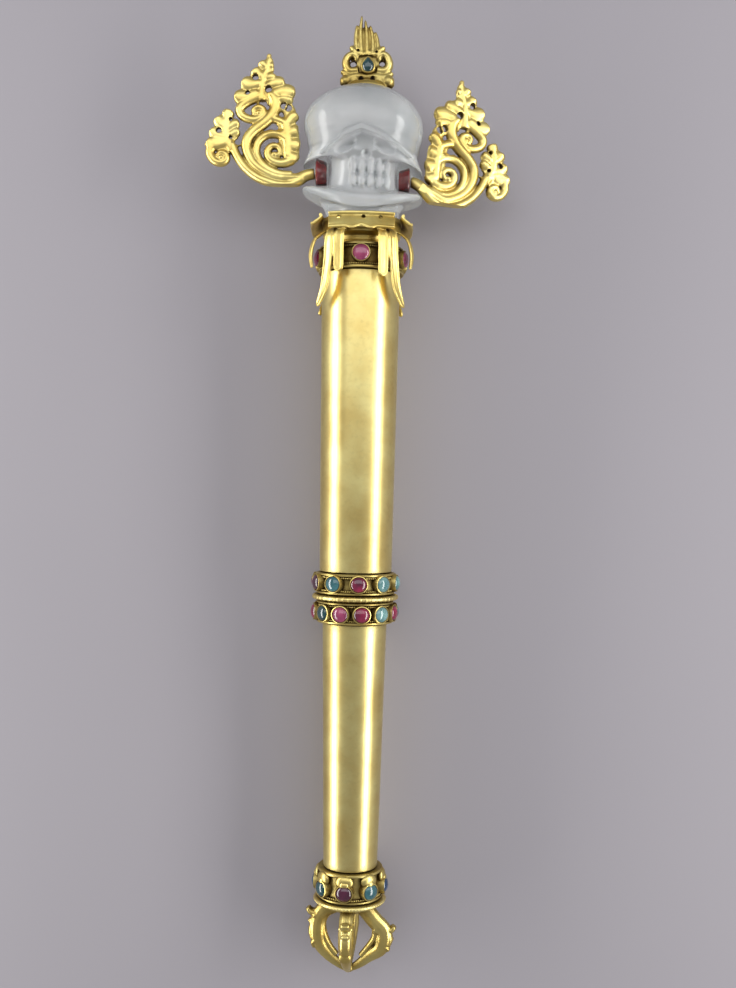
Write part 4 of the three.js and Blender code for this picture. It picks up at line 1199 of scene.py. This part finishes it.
# The left flame ornament, in millimetres outwards and up from the top of its arm. Each
# strand has its half widths at both ends and its points.
STRANDS = {
    "outer": ((1.6, 1.5), [(-7.4, 0.2), (-2.3, -2.3), (3.3, -2.8), (8.9, -1.5), (14.6, 0.9),
        (19.4, 4.6), (22.7, 8.8), (24.9, 12.9), (26.2, 17.4)]),
    "broad": ((1.6, 2.1), [(-7.4, 0.6), (-1.3, 0.5), (4.8, 0.9), (10.4, 3.1), (15.2, 6.5),
        (18.1, 10.7), (19.3, 15.1), (18.5, 19.1), (15.5, 22.7), (11.6, 25.8), (8.1, 29.2),
        (6.1, 33.2), (6.6, 37.4), (9.7, 40.1)]),
    "inner": ((1.2, 1.6), [(-2.2, 2.2), (3.4, 2.5), (8.6, 4.6), (12.6, 8.0), (14.6, 12.4),
        (14.0, 16.6), (11.2, 19.7), (7.5, 21.0), (3.3, 20.4), (-0.1, 17.8)]),
    "upper_volute": ((1.9, 0.8), [(11.6, 39.6), (16.2, 37.5), (19.9, 35.5), (22.7, 32.6),
        (21.7, 29.4), (18.1, 27.7), (14.6, 27.7), (11.6, 29.8), (11.9, 32.4), (14.0, 33.3),
        (16.1, 32.1), (15.6, 30.0), (13.7, 30.5)]),
    "lower_volute": ((1.8, 0.8), [(-2.1, 9.0), (1.6, 7.5), (5.4, 7.7), (8.4, 9.5), (9.4, 12.5),
        (7.8, 15.0), (5.0, 15.2), (3.4, 13.3), (4.3, 11.0), (6.1, 11.2)]),
    "small_volute": ((1.7, 0.8), [(35.5, 14.8), (36.4, 11.5), (34.4, 8.1), (31.1, 7.0),
        (28.6, 8.4), (28.8, 11.0), (31.4, 11.7), (32.6, 10.0), (30.9, 9.3)]),
    "cluster_stem": ((1.9, 1.8), [(25.6, 12.7), (27.5, 16.4), (29.0, 20.6), (29.1, 25.3), (27.3, 30.0)]),
    "cluster_arm": ((2.0, 2.2), [(27.5, 15.9), (31.8, 17.3), (35.0, 16.3), (36.9, 13.4)]),
    "leaf_stem": ((1.9, 1.3), [(3.3, 20.1), (0.5, 22.5), (0.1, 26.7), (-2.6, 30.5)]),
    "leaf_back": ((2.0, 1.8), [(1.0, 25.8), (-0.1, 18.3), (-0.2, 9.9)]),
    "leaf_link": ((1.5, 1.5), [(8.1, 28.5), (3.8, 27.1), (0.1, 25.3)]),
    "crown_ridge": ((1.7, 0.6), [(12.5, 36.3), (12.5, 41.5), (11.7, 47.1), (9.9, 52.8), (9.1, 58.0)]),
}
WEBS = {
    "crown": ((8.4, 1.2), [(12.5, 36.3), (12.5, 41.5), (11.7, 47.1), (9.9, 52.8), (9.1, 57.0)]),
    "leaf": ((5.4, 4.8), [(0.5, 25.8), (-0.5, 18.3), (-0.7, 9.9)]),
    "cluster": ((5.8, 4.2), [(26.5, 13.1), (29.0, 18.7), (29.6, 24.3), (28.2, 29.0)]),
    "shoulder": ((3.4, 3.0), [(9.0, 37.4), (3.4, 35.2), (-0.6, 31.4), (-0.4, 26.0)]),
    "crown_left": ((4.4, 3.6), [(12.5, 38.7), (17.2, 40.5), (20.1, 43.2)]),
    "crown_right": ((4.2, 3.4), [(11.6, 38.7), (6.0, 40.7), (1.3, 39.4)]),
}
# Each flame lobe: its root, its tip and its radius.
FINGERS = [
    ((14.4, 40.0), (24.0, 38.6), 2.9),
    ((13.5, 44.3), (20.6, 45.0), 2.9),
    ((12.2, 47.6), (15.5, 50.3), 2.4),
    ((10.4, 51.8), (12.5, 54.2), 1.8),
    ((9.5, 55.1), (9.1, 58.0), 0.9),
    ((10.7, 42.5), (3.2, 44.7), 2.5),
    ((8.7, 38.8), (-1.6, 40.1), 2.9),
    ((6.8, 36.5), (-1.1, 36.4), 1.9),
    ((10.3, 47.2), (7.3, 47.2), 1.9),
    ((9.5, 52.3), (7.8, 52.6), 1.3),
    ((29.1, 23.4), (32.4, 27.5), 2.3),
    ((28.5, 18.7), (34.9, 22.1), 2.5),
    ((29.9, 15.9), (36.7, 16.7), 2.6),
    ((28.2, 26.2), (27.6, 30.7), 2.3),
    ((28.1, 22.5), (23.7, 25.4), 2.0),
    ((27.6, 18.7), (23.4, 21.6), 1.9),
    ((0.4, 20.2), (-3.5, 22.1), 2.5),
    ((0.8, 15.5), (-4.1, 15.1), 2.8),
    ((0.8, 11.7), (-2.8, 8.8), 2.6),
    ((0.1, 24.9), (-3.6, 29.6), 2.1),
]
# The holes that are drilled through: place and radius.
HOLES = [
    ((15.5, 47.1), 1.5),
    ((9.3, 41.6), 1.6),
    ((19.1, 39.7), 1.1),
    ((6.1, 23.8), 1.5),
    ((23.3, 16.9), 1.5),
    ((32.3, 21.9), 1.3),
    ((26.8, 27.2), 0.85),
    ((26.7, 18.8), 0.85),
    ((2.1, 34.0), 1.6),
    ((0.0, 33.1), 1.7),
    ((-4.8, 26.4), 1.3),
    ((6.4, 49.6), 1.0),
]

# The crown finial, in millimetres to the right and up from the middle of its seat.
FINIAL_STRANDS = {
    "left_curl": ((1.7, 1.1), [(-4.4, 8.5), (-8.2, 8.2), (-10.1, 10.7), (-10.0, 14.0),
        (-7.6, 16.0), (-5.3, 14.8), (-5.4, 12.7)]),
    "right_curl": ((1.9, 1.1), [(4.5, 8.6), (8.3, 8.5), (10.2, 11.1), (9.6, 14.6), (7.5, 16.2),
        (5.4, 15.0), (5.4, 12.9)]),
    "left_base": ((1.5, 2.3), [(-0.6, 5.2), (-5.8, 5.4), (-10.0, 3.6)]),
    "right_base": ((1.5, 2.8), [(-0.6, 5.2), (5.1, 5.3), (9.8, 3.5)]),
    "left_tip": ((1.3, 0.7), [(-8.1, 5.6), (-10.5, 6.9), (-12.4, 8.3)]),
    "right_tip": ((1.4, 0.8), [(7.9, 5.4), (10.3, 6.4), (12.1, 7.8)]),
    "left_shoulder": ((1.6, 0.8), [(-4.1, 16.0), (-6.5, 17.9), (-8.2, 20.0)]),
    "right_shoulder": ((1.7, 0.9), [(3.9, 16.2), (5.8, 17.9), (8.1, 19.8)]),
    "tongue_0": ((1.3, 0.5), [(-4.5, 15.1), (-5.4, 19.8), (-5.7, 25.0), (-5.2, 30.2)]),
    "tongue_1": ((1.5, 0.4), [(-2.7, 15.1), (-3.2, 20.8), (-3.5, 28.0), (-3.0, 34.8)]),
    "tongue_2": ((1.5, 0.4), [(-0.3, 15.2), (-0.4, 20.9), (-0.7, 27.1), (-1.4, 32.6)]),
    "tongue_3": ((1.4, 0.4), [(2.1, 15.2), (2.4, 19.9), (2.0, 25.6), (0.9, 30.2)]),
    "tongue_4": ((1.3, 0.5), [(4.4, 15.2), (4.8, 19.0), (4.4, 23.3), (3.4, 27.1)]),
}


def sagged(a, b, droop):
    """How far a point near the strands' roots is lifted to meet an arm that sits higher."""
    return droop * max(0, (6 - a) / 13.4) if b < 4 else 0


def held_to(most, size, share, more):
    """A depth that follows a width and stays under the most that is given."""
    return lambda u: min(most, size(u) * share + more)


# The cast strands and lobes are this much fuller than drawn.
STRAND_SWELL = 1.4
LOBE_SWELL = 1.34
# Each ornament: outwards and up from its boss, roll, yaw and the droop of its strands' roots.
ORNAMENT_PLACES = {"left": (13, -2.7, 0, 0, 0), "right": (11, -8.6, -3.6, 21, 4.8)}
ARM_SEAT = 22.4
ARM_HALF_WIDTH = 2.5


def flame_ornament(bm, place, droop):
    """Lays out the strands, webs and flame lobes of one ornament."""

    def drawn(points):
        return [Vector((a, b + sagged(a, b, droop), 0)) for a, b in points]

    before = set(bm.verts)
    for name, ((start, end), points) in STRANDS.items():
        start, end = start * STRAND_SWELL, end * STRAND_SWELL
        curl = "volute" in name
        size = tapering(start, end) if curl else rounded_tip(start, end, 0.12)
        depth = 2.7 if name in ("outer", "broad") else 2.3
        sweep(bm, smooth_path(drawn(points)), size, held_to(depth, size, 1.25, 0.3), 12)
        if curl:
            a, b = points[-1]
            ball(bm, at((a, b, 0.3), (1.5, 1.5, 2.2)))
    for (start, end), points in WEBS.values():
        size = rounded_tip(start, end, 0.1)
        sweep(bm, smooth_path(drawn(points), 5), size, tapering(1.4, 1.4), 12)
    for root, tip, radius in FINGERS:
        start, end = Vector((*root, 0)), Vector((*tip, 0))
        reach = end + (end - start).normalized() * radius * 0.55
        bow = Vector(((end - start).y, -(end - start).x, 0)) * 0.12
        radius *= LOBE_SWELL
        size = swelling(radius * 0.62, radius)
        path = smooth_path([start, (start + reach) / 2 + bow, reach], 7)
        sweep(bm, path, size, held_to(2.3, size, 1, 0.2), 12)
    move_since(bm, before, place)


class SCEPTRE_OT_flame_scrolls(Operator):
    """Cast the two pierced flame ornaments with their arms"""

    bl_idname = "sceptre.flame_scrolls"
    bl_label = "Flame Scrolls"

    def execute(self, context):
        grain = context.scene.sceptre_sizes.ornament_grain * 1000
        for name, (out, up, roll, yaw, droop) in ORNAMENT_PLACES.items():
            side, boss, _ = BOSSES[name]
            place = (
                Matrix.Scale(side, 4, (1, 0, 0))
                @ Matrix.Translation((ARM_SEAT + out, SKULL_FOOT + boss + up, BOSS_FORWARD))
                @ Matrix.Rotation(radians(roll), 4, "Z")
                @ Matrix.Rotation(radians(yaw), 4, "Y")
            )
            bm = bmesh.new()
            flame_ornament(bm, place, droop)
            start = Vector((side * (ARM_SEAT + 0.2), SKULL_FOOT + boss, BOSS_FORWARD))
            bend = place @ Vector((-5.0, 0.1 + sagged(-5.0, 0, droop), 0))
            joint = place @ Vector((1.5, -1.4 + sagged(1.5, 0, droop), 0))
            straight = start.lerp(bend, 0.45) + Vector((0, 0.5, 0))
            arm = smooth_path([start, straight, bend, joint])
            depth = rounded_tip(ARM_HALF_WIDTH, ARM_HALF_WIDTH)
            sweep(bm, arm, rounded_tip(ARM_HALF_WIDTH, 3.0), depth, 20)
            node = name + "_flame_scroll"
            piece = as_piece("Flame_" + name, bm, finishes()["Chased gilding"], "gilt_metal", (node,))
            cast_in_one(piece, grain, 1)
            holes = bmesh.new()
            for (a, b), radius in HOLES:
                drill(holes, place @ Matrix.Translation((a, b, 0)), radius, 12, 20)
            behind = (side * (ARM_SEAT - 5), SKULL_FOOT + boss, BOSS_FORWARD)
            bmesh.ops.create_cube(holes, size=1, matrix=at(behind, (10, 30, 30)))
            cut_by(piece, holes)
            cast_in_one(piece, grain, 2)
            trim_to_box(piece, node)
        return {"FINISHED"}


# The finial's knobs and holes: place and radius. Its buds: place. The rim of its stone: the
# points that it passes through.
FINIAL_KNOBS = (
    (-10.4, 3.4, 2.7), (9.9, 3.3, 3.3), (-6.2, 3.6, 2.4),
    (5.6, 3.6, 2.4), (-5.2, 13.6, 1.5), (5.4, 13.8, 1.6),
)
FINIAL_BUDS = ((-2.6, 16.2), (0.2, 16.8), (3.0, 16.0))
FINIAL_HOLES = (
    (-2.9, 4.0, 1.1), (2.5, 4.3, 1.1), (-6.6, 11.6, 1.5),
    (6.9, 12.0, 1.4), (-4.6, 17.6, 0.7), (4.2, 17.0, 0.7),
)
STONE_RIM = (
    (0.3, 6.9), (2.5, 7.6), (3.2, 9.6), (2.6, 11.8), (0.3, 14.0), (-2.0, 11.8), (-2.6, 9.6), (-1.9, 7.6),
)
FINIAL_GRAIN = 0.3


class SCEPTRE_OT_crown_finial(Operator):
    """Cast the crown's flame finial and set its blue stone"""

    bl_idname = "sceptre.crown_finial"
    bl_label = "Crown Finial"

    def execute(self, context):
        centre = Vector((1.2, CROWN_SEAT, 0))
        bm = bmesh.new()
        foot = [(0, 0.05), (9.0, 0.05), (8.8, 1.0), (7.4, 2.6), (4, 3.4), (0, 3.6)]
        lathe(bm, foot, 40, place=at(centre, (1.12, 1, 0.8)))
        for (start, end), points in FINIAL_STRANDS.values():
            size = rounded_tip(start * 1.25, end * 1.3, 0.15)
            knots = [centre + Vector((a, b, 0.6)) for a, b in points]
            sweep(bm, smooth_path(knots), size, held_to(2.9, size, 1.5, 0.3), 12)
        ball(bm, at(centre + Vector((0.2, 10.6, 0)), (8.6, 7.6, 2.1)), 28, 16)
        ball(bm, at(centre + Vector((-0.8, 19.6, 0)), (5.6, 10.0, 1.9)), 28, 16)
        for a, b, radius in FINIAL_KNOBS:
            thick = min(3.4, radius * 1.15)
            ball(bm, at(centre + Vector((a, b, 0.8)), (radius, radius, thick)), 20, 12)
        for a, b in FINIAL_BUDS:
            ball(bm, at(centre + Vector((a, b, 1.4)), (1.5, 1.5, 2.0)))
        # The finial takes the darkened gilding: painted shade.
        piece = as_piece("Finial", bm, finishes()["Aged gilding"], "gilt_metal", ("crown_finial",))
        cast_in_one(piece, FINIAL_GRAIN, 1)
        holes = bmesh.new()
        for a, b, radius in FINIAL_HOLES:
            drill(holes, Matrix.Translation(centre + Vector((a, b, 0))), radius, 16)
        cut_by(piece, holes)
        cast_in_one(piece, FINIAL_GRAIN, 2)
        trim_to_box(piece, "crown_finial", (0, 2))
        bm = bmesh.new()
        ring = bmesh.ops.create_circle(bm, segments=40, radius=1)["verts"]
        for vert in ring:
            angle = vert.co.to_2d().angle_signed(Vector((0, 1)))
            point = 1 if abs(angle) > pi / 2 else sqrt(abs(sin(angle))) * 0.55 + 0.45
            tip = 0.7 if vert.co.y > 0.9 else 0
            vert.co = Vector((3.0 * vert.co.x * point, 3.5 * vert.co.y + tip, 0))
        cap_ring(bm, ring)
        for share, lift in ((0.97, 1.0), (0.86, 1.9), (0.62, 2.5), (0.3, 2.8)):
            ring = grow_ring(bm, ring)
            for vert in ring:
                vert.co = Vector((vert.co.x * share, vert.co.y * share, lift))
        cap_ring(bm, ring)
        bmesh.ops.translate(bm, vec=centre + Vector((0.3, 10.1, 2.5)), verts=bm.verts)
        as_piece("Finial_stone", bm, finishes()["Dark teal"], "blue_stone", ("crown_gem",))
        bm = bmesh.new()
        outline = [centre + Vector((a, b, 3.4)) for a, b in STONE_RIM]
        closed = smooth_path([*outline, outline[0]])
        sweep(bm, closed, tapering(0.55, 0.55), tapering(0.9, 0.9))
        as_piece("Finial_bezel", bm, finishes()["Chased gilding"], "gilt_metal")
        return {"FINISHED"}


class SCEPTRE_OT_crown_pin(Operator):
    """Set the dark pin that holds the finial inside the crystal"""

    bl_idname = "sceptre.crown_pin"
    bl_label = "Crown Pin"

    def execute(self, context):
        bm = bmesh.new()
        top = CROWN_SEAT - 0.4
        pin = [(0, 397.5), (0.9, 397.9), (1.0, 399), (0.8, 402), (0.3, 404), (0.3, top), (0, top)]
        lathe(bm, pin, 24)
        as_piece("Finial_pin", bm, finishes()["Dark pin"], "gilt_metal")
        return {"FINISHED"}


class SCEPTRE_OT_studio(Operator):
    """Lay the floor, set the lights and place the camera"""

    bl_idname = "sceptre.studio"
    bl_label = "Studio"

    def execute(self, context):
        look = context.scene.sceptre_look
        bm = bmesh.new()
        bmesh.ops.create_grid(bm, x_segments=4, y_segments=4, size=3)
        finish, nodes, links, shader = new_finish("Floor paper")
        mottle = effect(nodes, "Mottle", Scale=3.0, Seed=11.0)
        shades = ((0.3, 0.985), (0.7, 1.015))
        stops = [(place, [part * shade for part in look.floor]) for place, shade in shades]
        tone = ramp(nodes, links, mottle.outputs["Broad"], stops)
        links.new(tone, shader.inputs["Base Color"])
        shader.inputs["Roughness"].default_value = 0.95
        shader.inputs["Specular IOR Level"].default_value = 0.1
        as_piece("Floor", bm, finish, None, place=None)

        world = bpy.data.worlds.new("Studio air")
        world.use_nodes = True
        air = world.node_tree.nodes["Background"]
        air.inputs["Color"].default_value = (0.90, 0.90, 0.96, 1)
        air.inputs["Strength"].default_value = 0.34
        context.scene.world = world
        context.scene.view_settings.view_transform = "Standard"
        for name, place, size, power, colour in (
            ("Left softbox", (-0.60, -0.08, 0.18), (1.0, 0.18), look.side_light, (1, 0.99, 0.95)),
            ("Right softbox", (0.60, -0.08, 0.35), (1.0, 0.18), look.side_light, (1, 0.99, 0.95)),
            ("Head softbox", (0.0, 0.47, 0.85), (1.6, 0.7), look.side_light * 1.1, (0.98, 0.99, 1)),
        ):
            light = bpy.data.lights.new(name, "AREA")
            light.shape = "RECTANGLE"
            light.size, light.size_y = size
            light.energy = power
            light.color = colour
            lamp = bpy.data.objects.new(name, light)
            lamp.location = place
            aim = Vector((0, place[1] * 0.5, 0.02)) - Vector(place)
            lamp.rotation_euler = aim.to_track_quat("-Z", "Y").to_euler()
            context.scene.collection.objects.link(lamp)

        camera = bpy.data.objects.new("Camera", bpy.data.cameras.new("Camera"))
        camera.data.lens = look.lens
        camera.data.sensor_width = 36
        camera.data.clip_start = 0.01
        roll = radians(VIEW_ROLL)
        aside, height = VIEW_MIDDLE
        eye = (cos(roll) * aside, height + sin(roll) * aside, VIEW_DISTANCE)
        lying = STANDING_TO_LYING @ Matrix.Translation(eye) @ Matrix.Rotation(roll, 4, "Z")
        camera.matrix_world = Matrix.LocRotScale(lying.to_translation(), lying.to_quaternion(), None)
        context.scene.collection.objects.link(camera)
        context.scene.camera = camera
        return {"FINISHED"}


STEPS = (
    SCEPTRE_OT_shafts,
    SCEPTRE_OT_bead_rings,
    SCEPTRE_OT_gem_bands,
    SCEPTRE_OT_gems,
    SCEPTRE_OT_half_vajra,
    SCEPTRE_OT_collar,
    SCEPTRE_OT_crystal_skull,
    SCEPTRE_OT_bosses,
    SCEPTRE_OT_flame_scrolls,
    SCEPTRE_OT_crown_finial,
    SCEPTRE_OT_crown_pin,
    SCEPTRE_OT_studio,
)


class SCEPTRE_PT_panel(Panel):
    """Lists the sceptre's pieces, sizes and colours"""

    bl_idname = "SCEPTRE_PT_panel"
    bl_label = "Crystal-headed Sceptre"
    bl_space_type = "VIEW_3D"
    bl_region_type = "UI"
    bl_category = "Sceptre"

    def draw(self, context):
        for group in (context.scene.sceptre_sizes, context.scene.sceptre_look):
            box = self.layout.box()
            for name in group.__annotations__:
                box.prop(group, name)
        for step in STEPS:
            self.layout.operator(step.bl_idname)


CLASSES = (SceptreSizes, SceptreLook, *STEPS, SCEPTRE_PT_panel)


def register():
    """Registers the classes and hangs the settings on the scene."""
    for item in CLASSES:
        bpy.utils.register_class(item)
    bpy.types.Scene.sceptre_sizes = PointerProperty(type=SceptreSizes)
    bpy.types.Scene.sceptre_look = PointerProperty(type=SceptreLook)


def unregister():
    """Takes the settings off the scene and unregisters the classes."""
    del bpy.types.Scene.sceptre_look
    del bpy.types.Scene.sceptre_sizes
    for item in reversed(CLASSES):
        bpy.utils.unregister_class(item)


def main():
    """Registers the classes and builds every piece in order."""
    register()
    for step in STEPS:
        family, action = step.bl_idname.split(".")
        getattr(getattr(bpy.ops, family), action)()


if __name__ == "__main__":
    main()
